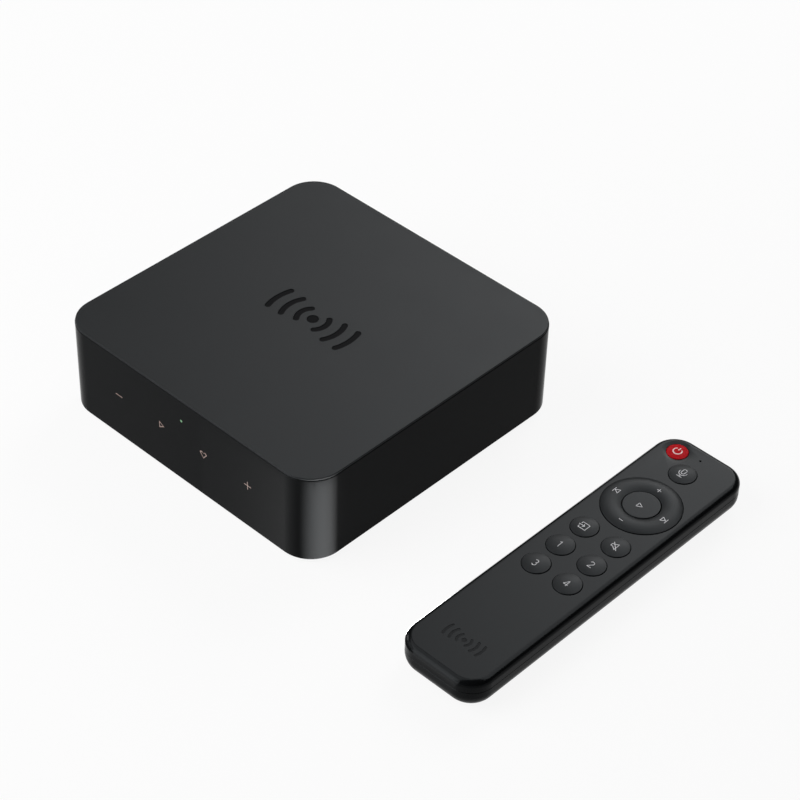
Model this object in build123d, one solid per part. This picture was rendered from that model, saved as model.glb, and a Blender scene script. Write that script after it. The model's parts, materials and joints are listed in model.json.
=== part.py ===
from build123d import *
import os

# Sizes are in millimetres. The origin is the middle of the streamer's rubber foot pad, on the
# surface that it stands on. +X runs to the right of its front, +Y to its connectors, +Z up.

# Streamer casing
BODY_WIDTH = 140.0
BODY_DEPTH = 140.0
BODY_HEIGHT = 42.0
BODY_CORNER = 14.2
SIDE_WALL = 2.2
TOP_SHEET = 0.7
TOP_THICKNESS = 2.0
TOP_SETBACK = 0.2
TOP_EDGE = 0.25
SEAM_EDGE = 0.35
LOWER_EDGE = 0.6
BASE_THICKNESS = 2.4
HOOK_WIDTH = 7.0
HOOK_THICKNESS = 1.0
HOOK_DROP = 3.2
HOOK_BARB = 0.7
HOOK_CORNER_SPACE = 18.0

# Foot pad
PAD_SCREW_GAP = 3.6
PAD_CORNER = 10.0
PAD_PROUD = 1.2
PAD_INSET = 0.8
PAD_EDGE = 0.3

# Casing posts and screws
POST_INSET = 12.0
POST_RADIUS = 3.2
POST_RIB = 1.6
BASE_SCREW_HEAD = 2.4
BASE_SCREW_HEAD_HEIGHT = 1.1
BASE_SCREW_SHANK = 1.2
BASE_SCREW_LENGTH = 9.0
BASE_SCREW_SINK = 1.2
SCREW_SLOT = 0.6

# Front signs and light
SIGN_DEPTH = 0.4
SIGN_STROKE = 0.45
SIGN_SPAN = 3.9
SIGN_LEVEL_SHARE = 0.517
SIGN_OUTER_SPACING = 36.3
SIGN_INNER_SPACING = 12.0
LIGHT_LEVEL_SHARE = 0.7475
LIGHT_RADIUS = 0.55

# Sound-wave mark on both tops
MARK_DOT = 2.5
MARK_STROKE = 2.6
MARK_STEP = 6.6
MARK_HALF_ANGLES = (42, 28, 19)
MARK_DEPTH = 0.6
MARK_SINK = 0.2
REMOTE_MARK_SHARE = 0.42
REMOTE_MARK_DEPTH = 0.35
REMOTE_MARK_SINK = 0.1
REMOTE_MARK_FROM_END = 16.3

# Main board and what stands on it
STANDOFF_HEIGHT = 3.4
STANDOFF_RADIUS = 3.0
STANDOFF_SIDE = 5.4
STANDOFF_FRONT = 6.0
STANDOFF_REAR = 24.0
BOARD_THICKNESS = 1.6
BOARD_POST_GAP = 1.5
BOARD_SETBACK = 22.5
BOARD_CORNER = 2.0
BOARD_SCREW_HEAD = 2.2
BOARD_SCREW_HEAD_HEIGHT = 1.3
BOARD_SCREW_SHANK = 0.9
BOARD_SCREW_LENGTH = 4.4
SHIELD_WIDTH = 40.0
SHIELD_DEPTH = 32.0
SHIELD_HEIGHT = 2.8
SHIELD_SHEET = 0.3
PROCESSOR_WIDTH = 14.0
PROCESSOR_HEIGHT = 1.2
MEMORY_WIDTH = 9.0
MEMORY_HEIGHT = 1.0
CONVERTER_WIDTH = 7.0
CONVERTER_HEIGHT = 1.0
CAPACITOR_RADIUS = 3.15
CAPACITOR_HEIGHT = 7.7
CAPACITOR_SPACING = 8.2

# Rear panel
PANEL_FLANGE = 1.8
PANEL_PLUG = 0.8
PANEL_OVERLAP = 1.6
PANEL_SIDE_BORDER = 1.8
PANEL_LOW_BORDER = 5.2
PANEL_HIGH_BORDER = 7.4
PANEL_CORNER = 3.0

# Round phono sockets
PHONO_RADIUS = 4.15
PHONO_WALL = 0.5
PHONO_COLLAR = 0.5
PHONO_PROUD = 8.4
PHONO_RECESS = 0.6
PHONO_HOLE = 1.7
PHONO_HOLE_DEPTH = 9.0
PHONO_LEVEL_SHARES = (0.27, 0.766)
PHONO_BLOCK_WIDTH = 10.4
PHONO_BLOCK_DEPTH = 13.0
PHONO_BLOCK_CAP = 6.4
JACK_SCREW_HEAD = 2.2
JACK_SCREW_HEAD_HEIGHT = 1.2
JACK_SCREW_SHANK = 1.2
JACK_SCREW_LENGTH = 8.0

# Optical sockets and their shutters
OPTICAL_WIDTH = 11.6
OPTICAL_DEPTH = 13.5
OPTICAL_SIDE_WALL = 0.9
OPTICAL_END_WALL = 0.6
OPTICAL_BACK_WALL = 1.5
MOUTH_WIDTH = 8.8
MOUTH_CUT = 1.6
SHUTTER_THICKNESS = 0.8
SHUTTER_BARREL = 0.6
SHUTTER_PIN = 0.4
SHUTTER_GAP = 0.2
SHUTTER_COVER = 0.2
SHUTTER_ROOM = 0.3

# Other sockets
TRIGGER_WIDTH = 8.0
TRIGGER_HEIGHT = 7.0
TRIGGER_DEPTH = 12.5
TRIGGER_NOSE = 3.0
TRIGGER_HOLE = 1.8
TRIGGER_HOLE_DEPTH = 13.0
TRIGGER_LEAD = 2.2
TRIGGER_LEAD_DEPTH = 3.1
ETHERNET_WIDTH = 16.0
ETHERNET_HEIGHT = 13.4
ETHERNET_DEPTH = 18.0
ETHERNET_PROUD = 0.2
ETHERNET_MOUTH_WIDTH = 11.9
ETHERNET_MOUTH_HEIGHT = 7.0
ETHERNET_MOUTH_DEPTH = 13.0
ETHERNET_MOUTH_RISE = 3.4
LATCH_WIDTH = 6.2
LATCH_HEIGHT = 1.5
LATCH_NECK_WIDTH = 3.6
LATCH_NECK_HEIGHT = 0.9
LATCH_DEPTH = 8.0
ETHERNET_PINS = 8
ETHERNET_PIN_SPACING = 1.02
ETHERNET_PIN_WIDTH = 0.45
ETHERNET_PIN_LENGTH = 7.0
POWER_WIDTH = 8.94
POWER_HEIGHT = 3.26
POWER_DEPTH = 7.7
POWER_SHEET = 0.3
POWER_PROUD = 0.2
POWER_TONGUE_WIDTH = 6.7
POWER_TONGUE_THICKNESS = 0.7
POWER_TONGUE_SETBACK = 1.0

# Front touch board, ribbon and aerials
TOUCH_WIDTH = 92.0
TOUCH_BELOW_SIGNS = 8.3
TOUCH_ABOVE_LIGHT = 2.3
TOUCH_THICKNESS = 1.0
LAMP_WIDTH = 3.2
LAMP_HEIGHT = 1.6
LAMP_THICKNESS = 1.1
LAMP_HOLE = 1.0
RIBBON_WIDTH = 8.0
RIBBON_THICKNESS = 0.3
RIBBON_START = 3.0
RIBBON_OUT = 5.0
RIBBON_LAP = 6.0
RIBBON_BEND = 1.6
AERIAL_LENGTH = 30.0
AERIAL_HEIGHT = 10.0
AERIAL_THICKNESS = 0.8
AERIAL_TOP_GAP = 6.0
LEAD_RADIUS = 0.55
LEAD_OUT = 5.0
LEAD_RUN = 22.0
LEAD_BEND = 2.4
LEAD_PLUG_RADIUS = 1.4
LEAD_PLUG_HEIGHT = 1.0

# Battery cells and their bay in the remote
CELL_DIAMETER = 10.5
CELL_LENGTH = 44.5
CELL_NUB_RADIUS = 1.9
CELL_NUB_LENGTH = 0.8
CELL_EDGE = 0.5
CELL_GAP = 0.3
CELL_HEADROOM = 0.8
CONTACT_SHEET = 0.4
CONTACT_WIDTH = 4.0
CONTACT_SPRING = 3.2
BAY_WALL = 1.6

# Remote case
REMOTE_SPACING = 52.95
REMOTE_Y = -2.2
REMOTE_WIDTH = 38.7
REMOTE_CORNER = 10.3
REMOTE_WALL = 1.2
REMOTE_TOP_ROUND = 2.6
REMOTE_BACK_ROUND = 7.0
REMOTE_UPPER_SIDE = 5.1
REMOTE_PART_LINE = 0.15
LIP_THICKNESS = 0.5
LIP_HEIGHT = 1.0
LIP_GAP = 0.1
DOOR_WIDTH = 24.6
DOOR_END_HEIGHT = 4.0
RAIL_WIDTH = 0.7
RAIL_THICKNESS = 0.8
RAIL_LAP = 1.1
GRIP_GROOVES = 5
GRIP_SPACING = 2.0
GRIP_DEPTH = 0.4
GRIP_WIDTH = 12.0
GRIP_FROM_END = 6.0

# Remote keys
KEY_RADIUS = 5.55
KEY_SPACING = 15.2
ROW_SPACING = 13.7
KEYS_TO_RING = 24.1
RING_TO_MICROPHONE_KEY = 24.85
MICROPHONE_KEY_TO_PINHOLE = 10.95
PINHOLE_TO_END = 7.1
PINHOLE_RADIUS = 0.5
POWER_KEY_RADIUS = 4.35
POWER_KEY_OFFSET = 9.8
POWER_KEY_RISE = 9.1
POWER_DISH_RADIUS = 6.2
POWER_DISH_DEPTH = 0.7
POWER_KEY_EDGE_DROP = 0.1
POWER_KEY_CROWN = 0.3
KEY_EDGE_RISE = 0.35
KEY_CROWN = 0.6
KEY_EDGE_ROUND = 0.25
KEY_SIDE_GAP = 0.2
KEY_FLANGE_REACH = 0.8
KEY_FLANGE = 0.8
KEY_STOP_GAP = 0.1
KEY_TRAVEL = 0.5
KEY_STEM_RADIUS = 2.5
PLAY_RADIUS = 7.4
PLAY_RISE = 0.6
PLAY_CROWN = 0.05
PLAY_FLANGE_REACH = 1.2
PLAY_FLANGE = 0.65
PLAY_FLANGE_RISE = 0.3
RING_OUTER = 15.7
RING_SIDE_GAP = 0.3
RING_FLANGE_REACH = 0.9
RING_FLANGE = 0.7
RING_TILT_GAP = 0.6
RING_CROWN = 1.0
RING_OUTER_RISE = 0.3
RING_INNER_RISE = 0.4
RIDGE_HEIGHT = 0.6
RIDGE_WIDTH = 1.2
RIDGE_GAP = 0.05
ROCKER_INNER = 9.4
ROCKER_OUTER = 14.2
ROCKER_THICKNESS = 0.7

# Remote inside
MEMBRANE_THICKNESS = 1.6
REMOTE_BOARD_THICKNESS = 1.2
REMOTE_BOARD_INSET = 1.7
BOARD_POST_RADIUS = 1.5
BOARD_POST_ROWS = 3
DOME_RADIUS = 2.2
DOME_HEIGHT = 0.6
DOME_POCKET_DEPTH = 0.9
CAPSULE_RADIUS = 2.0
CAPSULE_HEIGHT = 1.6

# Clearances
FIT_GAP = 0.15
HOLE_GAP = 0.25
PIN_GAP = 0.05
SHUT_GAP = 0.03
SPRING_GAP = 0.05
OVERRUN = 1.0

# Streamer levels and faces
casing_low = PAD_PROUD
casing_high = BODY_HEIGHT - TOP_SHEET
top_underside = BODY_HEIGHT - TOP_THICKNESS
base_top = casing_low + BASE_THICKNESS
pad_top = PAD_PROUD + PAD_INSET
board_low = base_top + STANDOFF_HEIGHT
board_high = board_low + BOARD_THICKNESS
inner_width = BODY_WIDTH - 2 * SIDE_WALL
inner_depth = BODY_DEPTH - 2 * SIDE_WALL
inner_corner = BODY_CORNER - SIDE_WALL
front_face = -BODY_DEPTH / 2
front_inner = -inner_depth / 2
rear_inner = inner_depth / 2
panel_inner = rear_inner - PANEL_FLANGE
panel_outer = rear_inner + PANEL_PLUG
panel_half = BODY_WIDTH / 2 - BODY_CORNER - PANEL_SIDE_BORDER
panel_low = casing_low + PANEL_LOW_BORDER
panel_high = BODY_HEIGHT - PANEL_HIGH_BORDER
post_x = BODY_WIDTH / 2 - POST_INSET
post_y = BODY_DEPTH / 2 - POST_INSET
pad_width = 2 * (post_x - BASE_SCREW_HEAD - PAD_SCREW_GAP)
pad_depth = 2 * (post_y - BASE_SCREW_HEAD - PAD_SCREW_GAP)
board_width = 2 * (post_x - POST_RADIUS - BOARD_POST_GAP)
board_rear = panel_inner - 2 * FIT_GAP
board_front = front_inner + BOARD_SETBACK
phono_low, phono_high = [
    panel_low + share * (panel_high - panel_low) for share in PHONO_LEVEL_SHARES
]
phono_end = panel_outer + PHONO_PROUD
jack_screw_level = (phono_low + phono_high) / 2
sign_level = casing_low + SIGN_LEVEL_SHARE * (BODY_HEIGHT - casing_low)
light_level = casing_low + LIGHT_LEVEL_SHARE * (BODY_HEIGHT - casing_low)
touch_low = sign_level - TOUCH_BELOW_SIGNS
touch_high = light_level + TOUCH_ABOVE_LIGHT
aerial_high = top_underside - AERIAL_TOP_GAP
aerial_low = aerial_high - AERIAL_HEIGHT

# The sockets in their order from the left of the front, with equal gaps along the panel
socket_widths = {
    "power": POWER_WIDTH,
    "ethernet": ETHERNET_WIDTH,
    "optical": OPTICAL_WIDTH,
    "trigger": TRIGGER_WIDTH,
    "coax": PHONO_BLOCK_WIDTH,
    "line_in": PHONO_BLOCK_WIDTH,
    "line_out": PHONO_BLOCK_WIDTH,
}
socket_gap = (2 * panel_half - sum(socket_widths.values())) / (len(socket_widths) + 1)
column = {}
reached = -panel_half
for name, width in socket_widths.items():
    column[name] = reached + socket_gap + width / 2
    reached = column[name] + width / 2

# Levels in one optical socket, above its own foot
mouth_low_rise = OPTICAL_END_WALL + SHUTTER_COVER + SHUTTER_ROOM
mouth_high_rise = mouth_low_rise + MOUTH_WIDTH
hinge_rise = mouth_high_rise + SHUTTER_BARREL + PIN_GAP * 2
optical_ceiling = hinge_rise + SHUTTER_BARREL + SHUTTER_GAP
optical_height = optical_ceiling + OPTICAL_END_WALL
hinge_y = panel_inner - SHUTTER_GAP - SHUTTER_BARREL
shutter_width = OPTICAL_WIDTH - 2 * OPTICAL_SIDE_WALL - 2 * SHUTTER_GAP

# Remote levels, measured up from the surface that it lies on
cell_level = REMOTE_WALL + CELL_GAP + CELL_DIAMETER / 2
remote_thickness = 2 * cell_level + CELL_HEADROOM
remote_ceiling = remote_thickness - REMOTE_WALL
remote_part_level = remote_thickness - REMOTE_UPPER_SIDE
ring_flange_top = remote_ceiling - RING_TILT_GAP
ring_low = ring_flange_top - RING_FLANGE
ring_pivot = ring_low - RIDGE_HEIGHT
rocker_high = ring_pivot - RIDGE_GAP
rocker_low = rocker_high - ROCKER_THICKNESS
rocker_pivot = rocker_low - RIDGE_HEIGHT
membrane_high = rocker_pivot - RIDGE_GAP
membrane_low = membrane_high - MEMBRANE_THICKNESS
remote_board_low = membrane_low - REMOTE_BOARD_THICKNESS
key_flange_top = remote_ceiling - KEY_STOP_GAP
key_stem_low = membrane_high + KEY_TRAVEL + KEY_STOP_GAP
play_flange_low = key_stem_low + PLAY_FLANGE_RISE
rail_low = REMOTE_WALL + FIT_GAP
rail_high = rail_low + RAIL_THICKNESS
bay_wall_low = rail_high + FIT_GAP

# Remote places along its length, from the middle of its length
bay_length = CELL_LENGTH + CONTACT_SPRING + 2 * CONTACT_SHEET
key_reach = KEY_RADIUS + KEY_FLANGE_REACH
key_field = key_reach + KEY_STOP_GAP + BAY_WALL
remote_length = (
    REMOTE_BACK_ROUND
    + bay_length
    + key_field
    + ROW_SPACING * 2
    + KEYS_TO_RING
    + RING_TO_MICROPHONE_KEY
    + MICROPHONE_KEY_TO_PINHOLE
    + PINHOLE_TO_END
)
remote_near = -remote_length / 2
remote_far = remote_length / 2
bay_low = remote_near + REMOTE_BACK_ROUND
bay_high = bay_low + bay_length
rail_start = remote_near + REMOTE_CORNER
near_row = bay_high + key_field
middle_row = near_row + ROW_SPACING
far_row = middle_row + ROW_SPACING
ring_place = far_row + KEYS_TO_RING
microphone_key_place = ring_place + RING_TO_MICROPHONE_KEY
pinhole_place = microphone_key_place + MICROPHONE_KEY_TO_PINHOLE
power_key_place = microphone_key_place + POWER_KEY_RISE
mark_place = remote_near + REMOTE_MARK_FROM_END
remote_x = BODY_WIDTH / 2 + REMOTE_SPACING + REMOTE_WIDTH / 2
cell_offset = (CELL_DIAMETER + CELL_GAP) / 2
bay_half = CELL_DIAMETER + CELL_GAP + FIT_GAP - SPRING_GAP
ring_inner = PLAY_RADIUS + RING_SIDE_GAP
dome_ring = (ROCKER_INNER + ROCKER_OUTER) / 2

small_keys = {
    "input_key": (-KEY_SPACING / 2, far_row),
    "mute_key": (KEY_SPACING / 2, far_row),
    "number_key_1": (-KEY_SPACING / 2, middle_row),
    "number_key_2": (KEY_SPACING / 2, middle_row),
    "number_key_3": (-KEY_SPACING / 2, near_row),
    "number_key_4": (KEY_SPACING / 2, near_row),
    "microphone_key": (0, microphone_key_place),
}
power_key_at = (-POWER_KEY_OFFSET, power_key_place)
ring_at = (0, ring_place)


def block(x, y, z):
    """A plain block between the two ends given for each axis."""
    sizes = [ends[1] - ends[0] for ends in (x, y, z)]
    return Pos(x[0], y[0], z[0]) * Box(*sizes, align=(Align.MIN, Align.MIN, Align.MIN))


def slab(width, depth, corner, z, at=(0, 0)):
    """An upright slab with round corners between two levels, centred on a place."""
    outline = Pos(at[0], at[1], z[0]) * RectangleRounded(width, depth, corner)
    return extrude(outline, amount=z[1] - z[0])


def post(radius, z, at=(0, 0)):
    """A round upright post between two levels."""
    upright = Cylinder(radius, z[1] - z[0], align=(Align.CENTER, Align.CENTER, Align.MIN))
    return Pos(at[0], at[1], z[0]) * upright


def bar_along_y(radius, y, x, z):
    """A round bar that runs from front to back."""
    upright = Cylinder(radius, y[1] - y[0], align=(Align.CENTER, Align.CENTER, Align.MIN))
    return Pos(x, y[0], z) * Rot(-90, 0, 0) * upright


def bar_along_x(radius, x, y, z):
    """A round bar that runs from left to right."""
    upright = Cylinder(radius, x[1] - x[0], align=(Align.CENTER, Align.CENTER, Align.MIN))
    return Pos(x[0], y, z) * Rot(0, 90, 0) * upright


def around(middle, width):
    """The two ends of a width centred on a middle."""
    return (middle - width / 2, middle + width / 2)


def corners(x, y):
    """The four places at plus and minus x and y."""
    return [(side * x, end * y) for side in (-1, 1) for end in (-1, 1)]


def cross_slot(radius, z, at):
    """The cross cut in a screw head that faces up or down."""
    one = block(around(at[0], radius * 1.2), around(at[1], SCREW_SLOT), z)
    other = block(around(at[0], SCREW_SLOT), around(at[1], radius * 1.2), z)
    return one + other


def wave_mark(share, trim):
    """The flat sound-wave sign: a dot with three arcs on each side, each trimmed all round."""
    shape = Circle(MARK_DOT * share - trim)
    for turn in (0, 180):
        for step, half_angle in enumerate(MARK_HALF_ANGLES, start=1):
            line = CenterArc((0, 0), MARK_STEP * step * share, turn - half_angle, 2 * half_angle)
            shape += SlotArc(line, MARK_STROKE * share - 2 * trim)
    return shape


def sign_shapes(trim):
    """The four flat front signs with their places: minus, play, heart and plus."""
    stroke = SIGN_STROKE - 2 * trim
    dash = Rectangle(SIGN_SPAN - 2 * trim, stroke)
    reach = SIGN_SPAN / 2 - trim
    play = RegularPolygon(reach, 3) - RegularPolygon(reach - 2 * stroke, 3)
    heart = heart_shape(reach) - heart_shape(reach - 1.5 * stroke)
    return {
        -SIGN_OUTER_SPACING: dash,
        -SIGN_INNER_SPACING: play,
        SIGN_INNER_SPACING: heart,
        SIGN_OUTER_SPACING: dash + Rectangle(stroke, SIGN_SPAN - 2 * trim),
    }


def heart_shape(half):
    """A flat heart that is twice its half width wide."""
    lobe = half / 2
    sides = Polyline((-half, lobe / 2), (0, -half), (half, lobe / 2))
    right = ThreePointArc((half, lobe / 2), (lobe, lobe * 1.4), (0, lobe / 2))
    left = ThreePointArc((0, lobe / 2), (-lobe, lobe * 1.4), (-half, lobe / 2))
    return make_face([sides, right, left])


def front_signs(trim):
    """The front signs as thin plates let into the front face."""
    plates = []
    for place, shape in sign_shapes(trim).items():
        plate = Rot(90, 0, 0) * extrude(shape, amount=SIGN_DEPTH)
        plates.append(Pos(place, front_face + SIGN_DEPTH, sign_level) * plate)
    return plates


def hook_places():
    """Middles and directions of the eight snap hooks under the top plate."""
    places = []
    for side in (-1, 1):
        reach = BODY_WIDTH / 2 - BODY_CORNER - HOOK_CORNER_SPACE
        places += [(side, 0, end * reach) for end in (-1, 1)]
        reach = BODY_DEPTH / 2 - BODY_CORNER - HOOK_CORNER_SPACE
        places += [(0, side, end * reach) for end in (-1, 1)]
    return places


def hook(side_x, side_y, along, gap):
    """One snap hook, or with a gap the pocket that its barb clicks into."""
    width = around(along, HOOK_WIDTH + 2 * gap)
    wall = (inner_width if side_x else inner_depth) / 2
    outer = wall - FIT_GAP
    tip = (top_underside - HOOK_DROP - gap, top_underside - HOOK_DROP + HOOK_BARB * 2 + gap)
    arm_ends = (outer - HOOK_THICKNESS, outer)
    tip_ends = (outer - HOOK_THICKNESS, outer + HOOK_BARB + gap)
    arm_levels = (top_underside - HOOK_DROP, top_underside + FIT_GAP)
    shape = None
    for ends, levels in ((arm_ends, arm_levels), (tip_ends, tip)):
        side = side_x or side_y
        span = tuple(sorted(side * end for end in ends))
        piece = block(span, width, levels) if side_x else block(width, span, levels)
        shape = piece if shape is None else shape + piece
    return shape


def outward_turn(x, y):
    """The turn about Z from +X to the corner that a place lies in."""
    tilt = 45 if y > 0 else -45
    return tilt if x > 0 else 180 - tilt


def make_side_housing():
    """The four walls in one moulding, with a screw post in each corner."""
    walls = slab(BODY_WIDTH, BODY_DEPTH, BODY_CORNER, (casing_low, casing_high))
    walls = chamfer(walls.edges().group_by(Axis.Z)[-1], SEAM_EDGE)
    walls = fillet(walls.edges().group_by(Axis.Z)[0], LOWER_EDGE)
    hollow = (casing_low - OVERRUN, casing_high + OVERRUN)
    walls -= slab(inner_width, inner_depth, inner_corner, hollow)
    reach = POST_INSET * 2**0.5
    half_wall = SIDE_WALL / 2
    outside = slab(
        inner_width + SIDE_WALL,
        inner_depth + SIDE_WALL,
        inner_corner + half_wall,
        hollow,
    )
    for x, y in corners(post_x, post_y):
        levels = (base_top, top_underside - FIT_GAP)
        rib = block((0, reach), around(0, POST_RIB), levels)
        rib = Pos(x, y) * Rot(0, 0, outward_turn(x, y)) * rib
        walls += post(POST_RADIUS, levels, (x, y)) + (rib & outside)
        depth = (base_top - OVERRUN, base_top + BASE_SCREW_LENGTH)
        walls -= post(BASE_SCREW_SHANK + PIN_GAP, depth, (x, y))
    opening = Pos(0, rear_inner - OVERRUN, (panel_low + panel_high) / 2) * Rot(-90, 0, 0)
    outline = RectangleRounded(2 * panel_half, panel_high - panel_low, PANEL_CORNER)
    walls -= opening * extrude(outline, amount=SIDE_WALL + 2 * OVERRUN)
    for side_x, side_y, along in hook_places():
        walls -= hook(side_x, side_y, along, FIT_GAP)
    for plate in front_signs(0):
        walls -= plate
    through = (front_face - OVERRUN, front_inner + OVERRUN)
    return walls - bar_along_y(LIGHT_RADIUS + SHUT_GAP, through, 0, light_level)


def make_top_plate():
    """The flat cover that drops into the walls, with snap hooks and the mark's pockets."""
    sheet_width = BODY_WIDTH - 2 * TOP_SETBACK
    sheet_depth = BODY_DEPTH - 2 * TOP_SETBACK
    sheet = slab(sheet_width, sheet_depth, BODY_CORNER - TOP_SETBACK, (casing_high, BODY_HEIGHT))
    sheet = chamfer(sheet.edges().group_by(Axis.Z)[-1], TOP_EDGE)
    plug = slab(
        inner_width - 2 * FIT_GAP,
        inner_depth - 2 * FIT_GAP,
        inner_corner - FIT_GAP,
        (top_underside, casing_high),
    )
    plate = sheet + plug
    for side_x, side_y, along in hook_places():
        plate += hook(side_x, side_y, along, 0)
    pocket = Pos(0, 0, BODY_HEIGHT - MARK_DEPTH) * wave_mark(1, 0)
    return plate - extrude(pocket, amount=MARK_DEPTH + OVERRUN)


def make_top_mark():
    """The glossy sound-wave inlay, a little below the face of the top plate."""
    flat = Pos(0, 0, BODY_HEIGHT - MARK_DEPTH) * wave_mark(1, SHUT_GAP)
    return extrude(flat, amount=MARK_DEPTH - MARK_SINK)


def standoff_places():
    """Where the main board is screwed down."""
    side = board_width / 2 - STANDOFF_SIDE
    ends = (board_front + STANDOFF_FRONT, board_rear - STANDOFF_REAR)
    return [(x, y) for x in (-side, side) for y in ends]


def make_base_plate():
    """The flat bottom inside the walls, with standoffs above and the pad's recess below."""
    plate = slab(
        inner_width - 2 * FIT_GAP,
        inner_depth - 2 * FIT_GAP,
        inner_corner - FIT_GAP,
        (casing_low, base_top),
    )
    plate -= slab(
        pad_width + 2 * FIT_GAP,
        pad_depth + 2 * FIT_GAP,
        PAD_CORNER + FIT_GAP,
        (casing_low - OVERRUN, pad_top),
    )
    for place in standoff_places():
        plate += post(STANDOFF_RADIUS, (base_top, board_low), place)
        depth = board_high - BOARD_SCREW_LENGTH
        plate -= post(BOARD_SCREW_SHANK + PIN_GAP, (depth, board_low + OVERRUN), place)
    for place in corners(post_x, post_y):
        plate -= post(BASE_SCREW_SHANK + FIT_GAP, (casing_low - OVERRUN, base_top + OVERRUN), place)
        sink = casing_low + BASE_SCREW_SINK
        plate -= post(BASE_SCREW_HEAD + FIT_GAP, (casing_low - OVERRUN, sink), place)
    return plate


def make_foot_pad():
    """The soft square pad that the streamer stands on."""
    pad = slab(pad_width, pad_depth, PAD_CORNER, (0, pad_top))
    return chamfer(pad.edges().group_by(Axis.Z)[0], PAD_EDGE)


def make_base_screws():
    """Four screws from below, through the bottom into the corner posts."""
    screws = []
    seat = casing_low + BASE_SCREW_SINK
    for place in corners(post_x, post_y):
        head_low = seat - BASE_SCREW_HEAD_HEIGHT
        screw = post(BASE_SCREW_HEAD, (head_low, seat), place)
        screw += post(BASE_SCREW_SHANK, (seat, seat + BASE_SCREW_LENGTH), place)
        slot = (head_low - OVERRUN, head_low + SCREW_SLOT)
        screws.append(screw - cross_slot(BASE_SCREW_HEAD, slot, place))
    return screws


def mouth_outline():
    """The square mouth for an optical plug, with its two upper corners cut off."""
    half = MOUTH_WIDTH / 2
    points = [(-half, -half), (half, -half), (half, half - MOUTH_CUT), (half - MOUTH_CUT, half)]
    points += [(MOUTH_CUT - half, half), (-half, half - MOUTH_CUT)]
    return Polygon(*points, align=None)


def optical_feet():
    """The level of the lower and of the upper optical socket's foot."""
    return board_high, board_high + optical_height


def through_panel(outline, x, z):
    """A flat outline as a cutter through the rear panel, upright as seen from the front."""
    flat = Rot(90, 0, 0) * extrude(outline, amount=PANEL_FLANGE + PANEL_PLUG + 2 * OVERRUN)
    return Pos(x, panel_outer + OVERRUN, z) * flat


def make_rear_panel():
    """The connector panel, held from inside behind the rear opening."""
    width = 2 * panel_half
    height = panel_high - panel_low
    middle = (panel_low + panel_high) / 2
    flange = RectangleRounded(width + 2 * PANEL_OVERLAP, height + 2 * PANEL_OVERLAP, PANEL_CORNER)
    plug = RectangleRounded(width - 2 * FIT_GAP, height - 2 * FIT_GAP, PANEL_CORNER - FIT_GAP)
    back = Pos(0, rear_inner, middle) * Rot(90, 0, 0) * extrude(flange, amount=PANEL_FLANGE)
    front = Pos(0, panel_outer, middle) * Rot(90, 0, 0) * extrude(plug, amount=PANEL_PLUG)
    panel = back + front
    for x, z in phono_places():
        panel -= through_panel(Circle(PHONO_RADIUS + PHONO_COLLAR + HOLE_GAP), x, z)
    for name in ("line_out", "line_in"):
        hole = Circle(JACK_SCREW_SHANK + FIT_GAP)
        panel -= through_panel(hole, column[name], jack_screw_level)
    for foot in optical_feet():
        middle = foot + (mouth_low_rise + mouth_high_rise) / 2
        panel -= through_panel(mouth_outline(), column["optical"], middle)
    nose = Circle(TRIGGER_NOSE + HOLE_GAP)
    panel -= through_panel(nose, column["trigger"], board_high + TRIGGER_HEIGHT / 2)
    window = Rectangle(ETHERNET_WIDTH + 2 * HOLE_GAP, ETHERNET_HEIGHT + 2 * HOLE_GAP)
    panel -= through_panel(window, column["ethernet"], board_high + ETHERNET_HEIGHT / 2)
    slot = power_outline(HOLE_GAP)
    panel -= through_panel(slot, column["power"], board_high + POWER_HEIGHT / 2)
    return panel


def phono_places():
    """The middles of the five phono sockets."""
    places = []
    for name in ("line_out", "line_in"):
        places += [(column[name], phono_high), (column[name], phono_low)]
    return places + [(column["coax"], phono_low)]


def make_phono_block(name, top_level):
    """The black body behind one or two phono sockets, standing on the board."""
    levels = (board_high, top_level + PHONO_BLOCK_CAP)
    depth = (panel_inner - PHONO_BLOCK_DEPTH, panel_inner)
    body = block(around(column[name], PHONO_BLOCK_WIDTH), depth, levels)
    if top_level > phono_low:
        pilot = panel_outer - JACK_SCREW_LENGTH - PIN_GAP
        ends = (pilot, panel_inner + OVERRUN)
        body -= bar_along_y(JACK_SCREW_SHANK + PIN_GAP, ends, column[name], jack_screw_level)
    return body


def make_phono_sleeves():
    """The plated outer sleeves that the plugs push onto."""
    sleeves = []
    for x, z in phono_places():
        sleeve = bar_along_y(PHONO_RADIUS, (panel_inner, phono_end), x, z)
        sleeve += bar_along_y(PHONO_RADIUS + PHONO_COLLAR, (panel_inner, panel_outer), x, z)
        hollow = (panel_inner - OVERRUN, phono_end + OVERRUN)
        sleeves.append(sleeve - bar_along_y(PHONO_RADIUS - PHONO_WALL, hollow, x, z))
    return sleeves


def make_phono_inserts(places):
    """The coloured cores inside some of the sleeves, each with the hole for the plug's pin."""
    inserts = []
    for x, z in places:
        end = phono_end - PHONO_RECESS
        core = bar_along_y(PHONO_RADIUS - PHONO_WALL - SHUT_GAP, (panel_inner, end), x, z)
        hole = (end - PHONO_HOLE_DEPTH, end + OVERRUN)
        inserts.append(core - bar_along_y(PHONO_HOLE, hole, x, z))
    return inserts


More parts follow.
